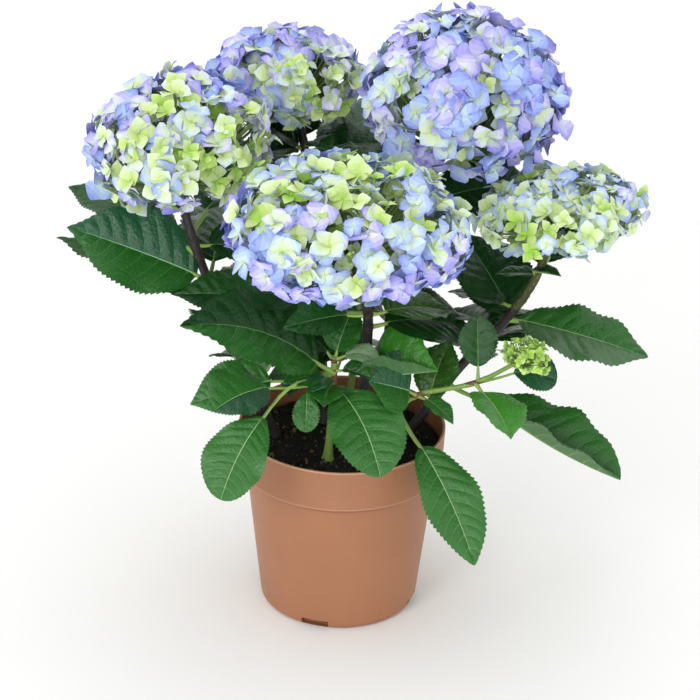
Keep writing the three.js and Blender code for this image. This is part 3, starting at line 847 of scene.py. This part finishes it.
def stalkItem(leaf):
    size = min(1.0, stalkLook["least"] + leaf["length"] / stalkLook["fullLength"])
    under = np.array(stalkLook["under"])
    ribs = bladePoints(leaf, under, np.zeros(len(under)))
    share = np.linspace(0, 1, stalkLook["steps"])
    bow = np.sin(math.pi * share) * leaf["stalk"] * leaf.get("sag", stalkLook["sag"])
    path = leaf["root"] + share[:, None] * (ribs[0] - leaf["root"]) + bow[:, None] * np.array([0, 0, -1.0])
    radii = size * between((stalkLook["thick"], stalkLook["thin"]), share ** 0.7)
    radii += size * stalkLook["collar"] * np.exp(-share * leaf["stalk"] / stalkLook["collarLength"])
    off = bladeFrame(leaf, under, np.full(len(under), math.radians(leaf["roll"])))[2]
    ribs -= off * (size * np.array(stalkLook["below"]))[:, None]
    return tube(np.vstack([path[:-1], ribs]), np.concatenate([radii, size * np.array(stalkLook["radii"])]),
                stalkLook["sides"])


# young stalk tissue: smooth skin with a dull shine and fine streaks
stalkShine = {"Roughness": 0.5}
stalkGrain = {"noise": {"Scale": 900.0, "Detail": 3.0}, "strength": 0.3, "depth": 0.0004}
greenStalk = grainySkin("smooth green stalk", "#8FAF57", stalkShine, stalkGrain)
joined("leafStalks", [stalkItem(leaf) for rows in grown.values() for leaf in rows], [greenStalk], [])


# canes and shoots

caneLook = {
    "steps": 90, "sides": 16, "intoSoil": 3, "intoHead": 2,
    "swell": 0.35, "swellHeight": 3.0, "jointHeight": 1.3,
    "lumps": {"name": "barkLumps", "size": 4, "detail": 3, "height": 0.28},
    "oliveFrom": {"right": 222},     # above this height the bark is still olive
    "slender": {"side_shoot": 0.76},
    "pores": 420.0, "poreEdge": (0.10, 0.30), "stretch": (1.0, 1.0, 0.45), "grain": 260.0,
}


def growCane(stem, materials, cadNodes, fromHeight, toHeight):
    # a round curve thickened at its leaf joints, made a mesh, then given bark relief
    curve = bpy.data.curves.new(f"cane_{stem['name']}", "CURVE")
    curve.dimensions = "3D"
    curve.bevel_depth = 1.0
    curve.bevel_resolution = caneLook["sides"] // 4
    curve.use_fill_caps = True
    spline = curve.splines.new("POLY")
    steps = caneLook["steps"]
    spline.points.add(steps)
    low, high = shareAt(stem, fromHeight), shareAt(stem, toHeight)
    joints = sorted({leaf["height"] for leaf in grown[stem["name"]]})
    for i in range(steps + 1):
        place = stemPoint(stem, low + (high - low) * i / steps)
        swell = sum(math.exp(-((place[2] - joint) / caneLook["swellHeight"]) ** 2) for joint in joints)
        spline.points[i].co = (*(place * mm), 1)
        thick = stemRadius(stem, place[2]) * caneLook["slender"].get(stem["name"], 1)
        spline.points[i].radius = (thick + caneLook["swell"] * min(1, swell)) * mm
    cane = bpy.data.objects.new(f"cane_{stem['name']}", curve)
    bpy.context.collection.objects.link(cane)
    pickOnly(cane)
    bpy.ops.object.convert(target="MESH")
    cane = bpy.context.object
    cane.name = f"bark_{stem['name']}"
    addLumps(cane, caneLook["lumps"])
    cane.data.materials.clear()
    for material in materials:
        cane.data.materials.append(material)
    olive = caneLook["oliveFrom"].get(stem["name"], math.inf)
    for face in cane.data.polygons:
        height = face.center.z / mm
        atJoint = any(abs(height - joint) < caneLook["jointHeight"] for joint in joints)
        face.material_index = 1 if height > olive else (2 if atJoint else 0)
    bpy.ops.object.shade_smooth_by_angle(angle=math.radians(50))
    declare(cane, cadNodes)


def barkSkin(name, base, fleck, roughness):
    # young bark: satin skin with paler raised pores about 1 mm long
    material, tree, shader = newMaterial(name, base, {"Roughness": roughness})
    along = {"Vector": laidOn(tree, "ShaderNodeMapping", {"Scale": caneLook["stretch"]}).outputs["Vector"]}
    pores = addNode(tree, "ShaderNodeTexVoronoi", {"Scale": caneLook["pores"]}, along)
    grain = addNode(tree, "ShaderNodeTexNoise", {"Scale": caneLook["grain"], "Detail": 5.0}, along)
    spots = fade(tree, pores.outputs["Distance"], *caneLook["poreEdge"], 1.0, 0.0)
    tree.links.new(blend(tree, spots, base, fleck), shader.inputs["Base Color"])
    addRelief(tree, shader, grain.outputs["Fac"], 0.6, 0.0006)
    return material


# skin, tint above oliveFrom, leaf joint
darkSkins = [
    barkSkin("dark satin bark", "#20191D", "#483C3D", 0.48),
    barkSkin("olive half ripe bark", "#4E5230", "#82835A", 0.5),
    barkSkin("dark leaf joint", "#2E2420", "#5A4B40", 0.6),
]
greenSkins = [
    barkSkin("green shoot skin", "#7D9F4A", "#9DBA68", 0.45),
    barkSkin("pale shoot skin", "#93AE60", "#AEC480", 0.45),
    barkSkin("reddish leaf joint", "#6E4A30", "#8A6A44", 0.55),
]
for stem in stems:
    shoot = stem["name"].endswith("shoot")
    hasBloom = any(bloom["name"] == stem["name"] for bloom in blooms)
    top = stem["points"][-1][2] - caneLook["intoHead"] if hasBloom else stem["top"]
    growCane(stem, greenSkins if shoot else darkSkins,
             [f"cane_{stem['name']}"], soilTop - caneLook["intoSoil"], top)
print("canes grown")


# flower heads

blueKeys = ["#97CC40", "#AAD55A", "#BEDA7C", "#CFE298", "#D3E6AE", "#D8E8C6", "#D3E4D9", "#C5DAE8",
            "#B7CBEE", "#AEC1F2", "#A0B2EF", "#94A5EA", "#8999E3", "#7E8BDB"]
lilacKeys = ["#E3EDE4", "#DEDFF2", "#D0CDF3", "#C2BEF3", "#B4B0F2", "#A6A2EF", "#9995E8", "#8D8ADF"]


def ramp(keys, steps):
    # evenly spaced colours between the keys
    values = np.array([[int(key[i:i + 2], 16) for i in (1, 3, 5)] for key in keys], float)
    at = np.linspace(0, len(keys) - 1, steps)
    mixed = np.stack([np.interp(at, range(len(keys)), values[:, i]) for i in range(3)], axis=1)
    return ["#%02X%02X%02X" % tuple(int(round(v)) for v in row) for row in mixed]


blueSteps = 2 * len(blueKeys) - 1
lilacStart = blueSteps - (2 * len(lilacKeys) - 1)  # where the lilac ramp leaves the blue one
rampBlue = ramp(blueKeys, blueSteps)
rampLilac = ramp(lilacKeys, blueSteps - lilacStart)

# petal tissue: matt, with a faint velvet sheen and fine pleats
petalShine = {"Roughness": 0.62, "Sheen Weight": 0.1, "Sheen Roughness": 0.5, "Specular IOR Level": 0.3}
petalGrain = {"noise": {"Scale": 500.0, "Detail": 3.0}, "strength": 0.25, "depth": 0.0004}
petalMaterials = [grainySkin(f"soft petal {hue} {i + 1}", colour, petalShine, petalGrain)
                  for hue, shades in (("blue", rampBlue), ("lilac", rampLilac))
                  for i, colour in enumerate(shades)]

petalCut = {
    "rows": (0.12, 0.33, 0.56, 0.78, 0.93), "columns": 4, "thickness": 0.35,
    "middle": 1.08, "tipRound": 1.32, "footRound": 2.1, "hollow": 0.2,
}


def cutPetal():
    # a broad pointed petal on a unit length: a grid above and, below it, two strips that meet in a keel
    rows, columns = petalCut["rows"], petalCut["columns"]
    points = [(0.0, 0.0)] + [(along, 2 * j / columns - 1) for along in rows for j in range(columns + 1)]
    apex = len(points)
    points.append((1.0, 0.0))
    grid = [[1 + i * (columns + 1) + j for j in range(columns + 1)] for i in range(len(rows))]
    keel = [apex + 1 + i for i in range(len(rows))]
    points += [(along, 0.0) for along in rows]
    faces, reach = [], []
    for j in range(columns):
        across = abs(2 * (j + 0.5) / columns - 1)
        faces += [(0, grid[0][j], grid[0][j + 1]), (grid[-1][j], apex, grid[-1][j + 1])]
        reach += [(0.06, 0.0), (0.97, 0.6)]
        for i in range(len(rows) - 1):
            a, b, c, d = grid[i][j], grid[i + 1][j], grid[i + 1][j + 1], grid[i][j + 1]
            faces += [(a, b, c), (a, c, d)] if j < columns / 2 else [(a, b, d), (b, c, d)]
            reach += [((rows[i] + rows[i + 1]) / 2, across)] * 2
    for edge, first in ((0, True), (columns, False)):
        below = [(0, keel[0], grid[0][edge]), (grid[-1][edge], keel[-1], apex)]
        for i in range(len(rows) - 1):
            a, b, c, d = grid[i][edge], grid[i + 1][edge], keel[i + 1], keel[i]
            below += [(a, c, b), (a, d, c)]
        faces += below if first else [(a, c, b) for a, b, c in below]
        reach += [(0.06, 0.3), (0.97, 0.6)]
        reach += [((rows[i] + rows[i + 1]) / 2, 0.6) for i in range(len(rows) - 1) for _ in range(2)]
    points, (far, wide) = np.array(points), np.array(reach).T
    tinted = far ** 1.5 + 0.45 * far * wide ** 2
    return {"along": points[:, 0], "across": points[:, 1], "keel": np.arange(len(points)) > apex,
            "faces": np.array(faces), "reach": np.minimum(1, tinted)}


petal = cutPetal()
# where on the ramp a floret's heart and its petal tips are, from unripe to ripe
tints = {
    "ripe": (0, 0.25, 0.5, 0.75, 1),
    "heart": (0.03, 0.17, 0.30, 0.42, 0.60),
    "tip": (0.20, 0.44, 0.72, 0.9, 1.0),
}
beadPoints = np.array([(0, 0, 1), (1, 0, 0), (0, 1, 0), (-1, 0, 0), (0, -1, 0), (0, 0, -1)], float)
beadFaces = np.array([(0, 1, 2), (0, 2, 3), (0, 3, 4), (0, 4, 1), (5, 2, 1), (5, 3, 2), (5, 4, 3), (5, 1, 4)])


def petalShape(size, wide, cup, curl, lean, ruffle, turn):
    # a petal that leaves the floret's centre at the angle cup and curls along its length
    along, across = petal["along"], petal["across"]
    away = np.abs(2 * along ** petalCut["middle"] - 1)
    power = np.where(along > 0.5, petalCut["tipRound"], petalCut["footRound"])
    half = 0.5 * wide * size * (1 - away ** power)
    bend = curl if abs(curl) > 0.05 else 0.05
    slope = cup - bend * along
    out = size / bend * (np.sin(cup) - np.sin(slope))
    rise = size / bend * (np.cos(slope) - math.cos(cup))
    side = across * half
    lift = petalCut["hollow"] * half * across ** 2 + lean * side
    lift += ruffle * size * along * np.sin(3 * across + 4 * along)
    lift -= petal["keel"] * petalCut["thickness"]
    x = out - np.sin(slope) * lift
    z = rise + np.cos(slope) * lift
    c, s = math.cos(turn), math.sin(turn)
    return np.stack([x * c - side * s, x * s + side * c, z], axis=1)


def turnTo(face, spin):
    # rotation that takes +Z to face after a spin about +Z
    quat = Vector((0, 0, 1)).rotation_difference(Vector(face))
    return np.array(quat.to_matrix() @ Matrix.Rotation(spin, 3, "Z"))


# pairs are the least and the most, angles are degrees
floretLook = {
    "petals": 4, "length": (0.86, 1.10), "width": (0.9108, 1.1484), "unripeWidth": (0.74, 1.34),
    "cup": (60, 9), "cupStray": 24,     # from a closed floret to an open one
    "curl": (44, 30), "curlStray": 60,
    "lean": 0.26, "leanStray": 0.3, "turnStray": 0.3, "ruffle": 0.09, "tintStray": 0.16,
    "bead": 0.1, "beadHeight": 0.06,    # the closed eye in the middle, of the floret's size
    "beadTints": (2, 6, 15), "darkBead": 0.4,
}


def floretItem(centre, face, size, ripeness, lilac, openness, draw, fresh=1.0):
    look, items = floretLook, []
    matrix = turnTo(face, anyTurn(draw))
    for k in range(look["petals"]):
        own = size * between(look["length"], next(draw))
        cup = math.radians(between(look["cup"], openness) + stray(draw, look["cupStray"]))
        curl = math.radians(between(look["curl"], openness) + stray(draw, look["curlStray"]))
        lean = look["lean"] + stray(draw, look["leanStray"])
        turn = k * 2 * math.pi / look["petals"] + stray(draw, look["turnStray"])
        wide = between(look["width"], next(draw)) * min(1, between(look["unripeWidth"], ripeness))
        shape = petalShape(own, wide, cup, curl, lean, stray(draw, look["ruffle"]), turn)
        tint = ripeness + stray(draw, look["tintStray"])
        heart, tip = (np.interp(tint, tints["ripe"], tints[part]) for part in ("heart", "tip"))
        number = between((heart, tip), petal["reach"]) * fresh * (blueSteps - 1)
        number = np.clip(number.round().astype(int), 0, blueSteps - 1)
        slot = np.where((number > lilacStart) & lilac, blueSteps + number - lilacStart, number)
        items.append((shape, petal["faces"], slot))
    bead = beadPoints * size * look["bead"] + np.array([0, 0, size * look["beadHeight"]])
    unripe, pale, dark = look["beadTints"]
    tint = unripe if ripeness < 0.5 else (dark if next(draw) < look["darkBead"] else pale)
    items.append((bead, beadFaces, np.full(len(beadFaces), tint)))
    points, faces, slots = gathered(items)
    return points @ matrix.T + centre, faces, slots


# florets, their size, the side where they are unripe, ripeness there and opposite, share of lilac
# ones, how much ripeness strays, closed buds among them. wider and shift: the head's own spread and
# place, lowest: how far down florets grow, fresh: 1 for their full colour
headLook = {
    "left": {
        "count": 210, "size": (8.0, 14.0), "young": (0.45, -0.75, 0.1),
        "ripe": (0.2, 0.9), "lilac": 0.65, "stray": 0.7, "buds": 40,
    },
    "back": {
        "count": 175, "size": (8.5, 13.0), "young": (0.45, -0.85, -0.2),
        "ripe": (0.27, 0.9), "lilac": 0.5, "stray": 0.6, "buds": 30, "wider": 1.15, "shift": -6,
    },
    "back_right": {
        "count": 200, "size": (10.0, 15.5), "young": (-0.7, -0.5, 0.3),
        "ripe": (0.66, 0.95), "lilac": 0.6, "stray": 0.5, "buds": 50, "lowest": -0.7,
    },
    "centre": {
        "count": 280, "size": (8.0, 14.5), "young": (0.05, -0.35, 0.9),
        "ripe": (0.28, 1.0), "lilac": 0.38, "stray": 0.7, "buds": 160,
    },
    "right": {
        "count": 190, "size": (6.5, 11.8), "young": (-0.5, -0.6, 0.3),
        "ripe": (0.32, 0.5), "lilac": 0.1, "stray": 0.45, "buds": 90,
    },
    "side_shoot": {
        "count": 44, "size": (3.0, 6.4), "young": (0, 0, 1),
        "ripe": (0.0, 0.1), "lilac": 0.0, "stray": 0.1, "buds": 70, "fresh": 0.8,
    },
}
headRule = {
    "golden": math.pi * (3 - math.sqrt(5)), "lowest": -0.88,
    "fullRadius": 70,  # depths and stalks scale with the head's radius, as given for this one
    "strayFace": 1.2, "strayPlace": 0.7, "sink": 9, "inset": 0.22, "least": 4,
    "inner": 0.5, "innerSink": 11, "innerSize": 0.8, "innerRipe": 0.5,          # the layer below
    "ripens": 1.8, "open": 0.3, "opens": 0.8, "strayOpen": 0.6,
    "budSize": (0.8, 1.6), "budSink": 12, "budInset": 0.3, "budLeast": 3, "budTint": 2, "budTints": 16,
    # flower stalks leave a hub inside the head
    "hub": 0.75, "bendAt": 0.55, "bend": 4.0, "stalk": (1.0, 0.55), "stalkSteps": 7, "stalkSides": 5,
    "stalkGap": 0.3, "stalkLeast": 0.5,
    "budStalk": (0.6, 0.45, 0.4), "budStalkAt": (0.45, 0.75, 1.0), "budStalkSides": 4,
}


def evenHeights(count, bloom, lowest):
    # heights at which florets keep the same room on a head that is flatter than a ball
    steps = np.linspace(1, lowest, 400)
    middle = (steps[1:] + steps[:-1]) / 2
    depth = np.where(middle > 0, bloom["height"], bloom["under"])
    room = np.sqrt((bloom["radius"] * middle) ** 2 + depth ** 2 * (1 - middle ** 2))
    total = np.concatenate([[0], np.cumsum(room)])
    return np.interp((np.arange(count) + 0.5) / count, total / total[-1], steps)


def seatOn(bloom, height, turn, inset, least, wider=1.0):
    # at that share of the head's height: the way out, a seat that far under the skin, and the
    # skin's slope
    level = math.sqrt(1 - height * height)
    depth = bloom["height"] if height > 0 else bloom["under"]
    outward = np.array([level * math.cos(turn), level * math.sin(turn), height])
    seat = outward * (bloom["radius"] * wider - inset, bloom["radius"] - inset, max(least, depth - inset))
    return outward, seat, outward / (bloom["radius"], bloom["radius"], depth)


def headItems(bloom, look):
    rule = headRule
    centre = np.array(stemNamed[bloom["name"]]["points"][-1], float)
    lean = np.array(Vector((0, 0, 1)).rotation_difference(
        Vector(direction(bloom["towards"], 90 - bloom["tilt"]))).to_matrix())
    young = np.array(look["young"]) / np.linalg.norm(look["young"])
    draw = draws(look["count"] * 7 + bloom["radius"])
    florets, stalks = [], []
    hub = centre + lean @ np.array([0, 0, -bloom["under"] * rule["hub"]])
    inner = int(look["count"] * rule["inner"])
    lowest = look.get("lowest", rule["lowest"])
    wider, shift = look.get("wider", 1.0), np.array([look.get("shift", 0), 0, 0])
    places = [(height, i, False) for i, height in enumerate(evenHeights(look["count"], bloom, lowest))]
    places += [(height, i + 0.5, True) for i, height in enumerate(evenHeights(inner, bloom, lowest))]
    small = bloom["radius"] / rule["fullRadius"]
    share, gap = np.linspace(0, 1, rule["stalkSteps"])[:, None], rule["stalkGap"]
    for height, i, within in places:
        turn = i * rule["golden"] + stray(draw, rule["strayPlace"])
        sink = small * (rule["sink"] * next(draw) ** 1.5 + (rule["innerSink"] if within else 0))
        size = between(look["size"], next(draw)) * (rule["innerSize"] if within else 1)
        outward, seat, face = seatOn(bloom, height, turn, sink + size * rule["inset"], rule["least"], wider)
        face = face / np.linalg.norm(face) + [stray(draw, rule["strayFace"]) for _ in range(3)]
        turned = lean @ (face / np.linalg.norm(face))
        place = centre + lean @ seat + shift
        away = 0.5 - 0.5 * float(np.dot(outward, young))
        ripe = between(look["ripe"], min(1, away * rule["ripens"]))
        ripe += look["stray"] * (next(draw) + next(draw) - 1)
        ripe = min(1.0, max(0.0, ripe * (rule["innerRipe"] if within else 1)))
        lilac = next(draw) < look["lilac"]
        openness = min(1, rule["open"] + rule["opens"] * ripe + stray(draw, rule["strayOpen"]))
        florets.append(floretItem(place, turned, size, ripe, lilac, max(0, openness), draw,
                                  look.get("fresh", 1.0)))
        bend = between((hub, place), rule["bendAt"]) - np.array([0, 0, rule["bend"] * small])
        path = (1 - share) ** 2 * hub + 2 * share * (1 - share) * bend + share ** 2 * (place - turned * gap)
        radii = np.linspace(*rule["stalk"], rule["stalkSteps"]) * max(rule["stalkLeast"], small)
        stalks.append(tube(path, radii, rule["stalkSides"]))
    for height in evenHeights(look["buds"], bloom, lowest):
        turn = anyTurn(draw)
        inset = small * rule["budSink"] * (rule["budInset"] + next(draw))
        place = centre + lean @ seatOn(bloom, height, turn, inset, rule["budLeast"])[1]
        size = between(rule["budSize"], next(draw))
        tint = int(rule["budTint"] + rule["budTints"] * look["ripe"][1] * next(draw) ** 2)
        florets.append((place + size * beadPoints, beadFaces, np.full(len(beadFaces), tint)))
        path = between((hub, place), np.array(rule["budStalkAt"])[:, None])
        stalks.append(tube(path, rule["budStalk"], rule["budStalkSides"]))
    return florets, stalks


petalStalk = grainySkin("pale flower stalk", "#A9C27A", stalkShine, stalkGrain)
for bloom in blooms:
    if bloom["name"] in headLook:
        florets, stalks = headItems(bloom, headLook[bloom["name"]])
        joined(f"florets_{bloom['name']}", florets, petalMaterials, [f"bloom_{bloom['name']}"], 60)
        joined(f"flowerStalks_{bloom['name']}", stalks, [petalStalk], [])


# pot

bandFoot = pot["rimRadius"] - pot["bandDraft"]
bodyRadius, bodyTop = bandFoot - pot["bandStep"], pot["height"] - pot["bandHeight"]
innerRadius = bodyRadius - pot["wall"]
potLook = {
    # how far out and up from the band's foot its bead goes, how far in and down the rim goes
    "bead": [(0.1, 0.25), (0.45, 0.8), (0.45, 1.3), (0.15, 1.9)],
    "rim": [(0, pot["lip"]), (0.2, 0.2), (pot["lip"], 0), (pot["wall"], 0.3)],
    "taper": 0.3,  # the body's top is this much narrower than the step
    "tones": ("#9C6647", "#A97351"), "cloud": {"Scale": 22.0, "Detail": 5.0, "Roughness": 0.6},
    # specks of dirt within a few patches
    "speck": "#6A4A3A", "specks": 130.0, "speckEdge": (0.03, 0.09), "speckStrength": 0.55,
    "patches": 9.0, "patchEdge": (0.46, 0.6),
    "grain": {"Scale": 900.0, "Detail": 3.0},
    "tintEnd": 0.3,  # mm, how softly a tint ends
    # heights between which a tint lies, how softly it starts, its strength and colour
    "zones": [
        (pot["height"] - 1.3, pot["height"] + 2, 0.6, 0.6, "#DDAA8C"),  # painted highlight: the thin lip lit as if light came through it
        (bodyTop + 0.2, bodyTop + 1.9, 0.5, 0.22, "#D9A88A"),           # painted highlight along the bead
        (bodyTop - 3.6, bodyTop + 0.2, 1.6, 0.7, "#6E4634"),            # painted shade in the corner under the band
    ],
}


def makePot():
    corner = pot["footRadius"] - pot["footRound"]
    turns = [math.radians(-90 + 15 * i) for i in range(7)]
    outside = [(corner + pot["footRound"] * math.cos(a), pot["footRound"] * (1 + math.sin(a))) for a in turns]
    outside += [(bodyRadius - potLook["taper"], bodyTop), (bandFoot - pot["bandEdge"], bodyTop)]
    outside += [(bandFoot + out, bodyTop + up) for out, up in potLook["bead"]]
    outside += [(pot["rimRadius"] - inwards, pot["height"] - down) for inwards, down in potLook["rim"]]
    outside += [
        (bandFoot - pot["wall"], bodyTop + pot["wall"]), (innerRadius, bodyTop),
        (pot["footRadius"] - pot["wall"], pot["footRound"]), (corner, pot["wall"]),
    ]
    bpy.ops.object.select_all(action="DESELECT")
    bpy.ops.mesh.primitive_circle_add(vertices=pot["sides"], radius=outside[0][0] * mm, fill_type="NGON",
                                      location=(0, 0, 0))
    piece = bpy.context.object
    piece.name = "potShell"
    bpy.ops.object.mode_set(mode="EDIT")
    bpy.ops.mesh.select_mode(type="EDGE")
    bpy.ops.mesh.select_all(action="SELECT")
    bpy.ops.mesh.flip_normals()
    radius, height = outside[0]
    for nextRadius, nextHeight in outside[1:]:
        bpy.ops.mesh.extrude_edges_move(TRANSFORM_OT_translate={"value": (0, 0, (nextHeight - height) * mm)})
        grow = nextRadius / radius
        bpy.ops.transform.resize(value=(grow, grow, 1), center_override=(0, 0, nextHeight * mm))
        radius, height = nextRadius, nextHeight
    bpy.ops.mesh.edge_face_add()
    bpy.ops.mesh.select_all(action="SELECT")
    bpy.ops.mesh.normals_make_consistent(inside=False)
    bpy.ops.object.mode_set(mode="OBJECT")
    return piece


def cutSlots(piece):
    # drain slots through the foot's corner
    for i in range(pot["slots"]):
        turn = math.radians(pot["firstSlot"] + i * 360 / pot["slots"])
        bpy.ops.object.select_all(action="DESELECT")
        bpy.ops.mesh.primitive_cube_add(size=1, location=(0, 0, 0))
        cutter = bpy.context.object
        bpy.ops.object.mode_set(mode="EDIT")
        bpy.ops.mesh.select_all(action="SELECT")
        low, high = pot["slotLow"] * mm, pot["slotHigh"] * mm
        bpy.ops.transform.resize(value=(pot["slotDepth"] * mm, pot["slotWidth"] * mm, high - low),
                                 center_override=(0, 0, 0))
        bpy.ops.transform.translate(value=(pot["footRadius"] * mm, 0, (low + high) / 2))
        bpy.ops.transform.rotate(value=-turn, orient_axis="Z", center_override=(0, 0, 0))
        bpy.ops.object.mode_set(mode="OBJECT")
        pickOnly(piece)
        cut = piece.modifiers.new("slot", "BOOLEAN")
        cut.object = cutter
        bpy.ops.object.modifier_apply(modifier=cut.name)
        bpy.data.objects.remove(cutter)


potShell = makePot()
cutSlots(potShell)


def mouldedPlastic():
    # moulded polypropylene: even terracotta colour, dull shine, a few specks of dirt, and bands of painted
    # highlight and painted shade by height
    material, tree, shader = newMaterial("moulded polypropylene", "#A46F53", {"Roughness": 0.48, "IOR": 1.49})
    cloud = laidOn(tree, "ShaderNodeTexNoise", potLook["cloud"])
    specks = laidOn(tree, "ShaderNodeTexVoronoi", {"Scale": potLook["specks"]})
    patch = laidOn(tree, "ShaderNodeTexNoise", {"Scale": potLook["patches"], "Detail": 2.0})
    dots = fade(tree, specks.outputs["Distance"], *potLook["speckEdge"], potLook["speckStrength"], 0.0)
    dirt = times(tree, dots, fade(tree, patch.outputs["Fac"], *potLook["patchEdge"]))
    tint = blend(tree, dirt, blend(tree, cloud.outputs["Fac"], *potLook["tones"]), potLook["speck"])
    height = laidOn(tree, "ShaderNodeSeparateXYZ", {}).outputs["Z"]
    # painted highlights on the lip and bead, painted shade under the band
    for low, high, soft, strength, colour in potLook["zones"]:
        below = fade(tree, height, low * mm, (low + soft) * mm, 0.0, strength)
        above = fade(tree, height, (high - potLook["tintEnd"]) * mm, high * mm, 1.0, 0.0)
        tint = blend(tree, times(tree, below, above), tint, colour)
    tree.links.new(tint, shader.inputs["Base Color"])
    grain = laidOn(tree, "ShaderNodeTexNoise", potLook["grain"])
    addRelief(tree, shader, grain.outputs["Fac"], 0.12, 0.0005)
    return material


potShell.data.materials.append(mouldedPlastic())
bpy.ops.object.shade_smooth_by_angle(angle=math.radians(30))
declare(potShell, ["pot"])
print("pot made")


# peat

peatLook = {
    "rings": 7, "sides": 96, "underWall": 1, "base": 6, "depth": 5.5,
    "lumps": {"name": "peatLumps", "size": 11, "detail": 4, "height": 3.2},
    "crumbs": 900, "crumbSize": (0.6, 2.7), "rough": (0.7, 1.3), "slim": (0.5, 1.0), "flat": 0.6,
    "fromWall": 2.5, "proud": (0.4, 1.3),
    "colours": ["#15100E", "#281D17", "#483527", "#7D6850", "#48523A"],
    "share": (0.38, 0.64, 0.82, 0.92, 1.0),  # of the crumbs up to each colour
}


def makePeat():
    # an uneven surface that rises in lumps
    bpy.ops.object.select_all(action="DESELECT")
    bpy.ops.mesh.primitive_circle_add(vertices=peatLook["sides"], fill_type="TRIFAN", location=(0, 0, 0),
                                      radius=(innerRadius + peatLook["underWall"]) * mm)
    piece = bpy.context.object
    piece.name = "peatSurface"
    bpy.ops.object.mode_set(mode="EDIT")
    bpy.ops.mesh.select_all(action="SELECT")
    bpy.ops.mesh.subdivide(number_cuts=peatLook["rings"])
    bpy.ops.transform.translate(value=(0, 0, (soilTop - peatLook["base"]) * mm))
    bpy.ops.mesh.extrude_region_move(TRANSFORM_OT_translate={"value": (0, 0, peatLook["depth"] * mm)})
    bpy.ops.object.mode_set(mode="OBJECT")
    addLumps(piece, peatLook["lumps"], "Z")
    return piece


def crumbItems():
    # seeded crumbs and chips of bark, half sunk
    draw = draws(2024)
    items = []
    for _ in range(peatLook["crumbs"]):
        away = (innerRadius - peatLook["fromWall"]) * math.sqrt(next(draw))
        turn = anyTurn(draw)
        height = soilTop + between(peatLook["proud"], next(draw))
        place = np.array([away * math.cos(turn), away * math.sin(turn), height])
        size = between(peatLook["crumbSize"], next(draw) ** 2)
        rough = np.array([[between(peatLook["rough"], next(draw)) for _ in range(3)] for _ in beadPoints])
        slim = between(peatLook["slim"], next(draw))
        shape = beadPoints * rough * np.array([1, slim, peatLook["flat"]]) * size
        pick, slot = next(draw), 0
        while pick > peatLook["share"][slot]:
            slot += 1
        matrix = turnTo((stray(draw, 1), stray(draw, 1), 1.0), anyTurn(draw))
        items.append((shape @ matrix.T + place, beadFaces, np.full(len(beadFaces), slot)))
    return items


# peat: dull, fibrous and almost black while damp
peatGrain = {"noise": {"Scale": 700.0, "Detail": 6.0, "Roughness": 0.7}, "strength": 0.9, "depth": 0.0012}
peatMaterials = [grainySkin(f"damp peat {i + 1}", colour, {"Roughness": 0.92}, peatGrain)
                 for i, colour in enumerate(peatLook["colours"])]
peat = makePeat()
peat.data.materials.append(peatMaterials[0])
bpy.ops.object.shade_smooth_by_angle(angle=math.radians(40))
declare(peat, ["soil"])
joined("peatCrumbs", crumbItems(), peatMaterials, [], 30)


# sizes

low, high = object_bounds()
print("visual box", [round(v, 4) for v in (*low, *high)])
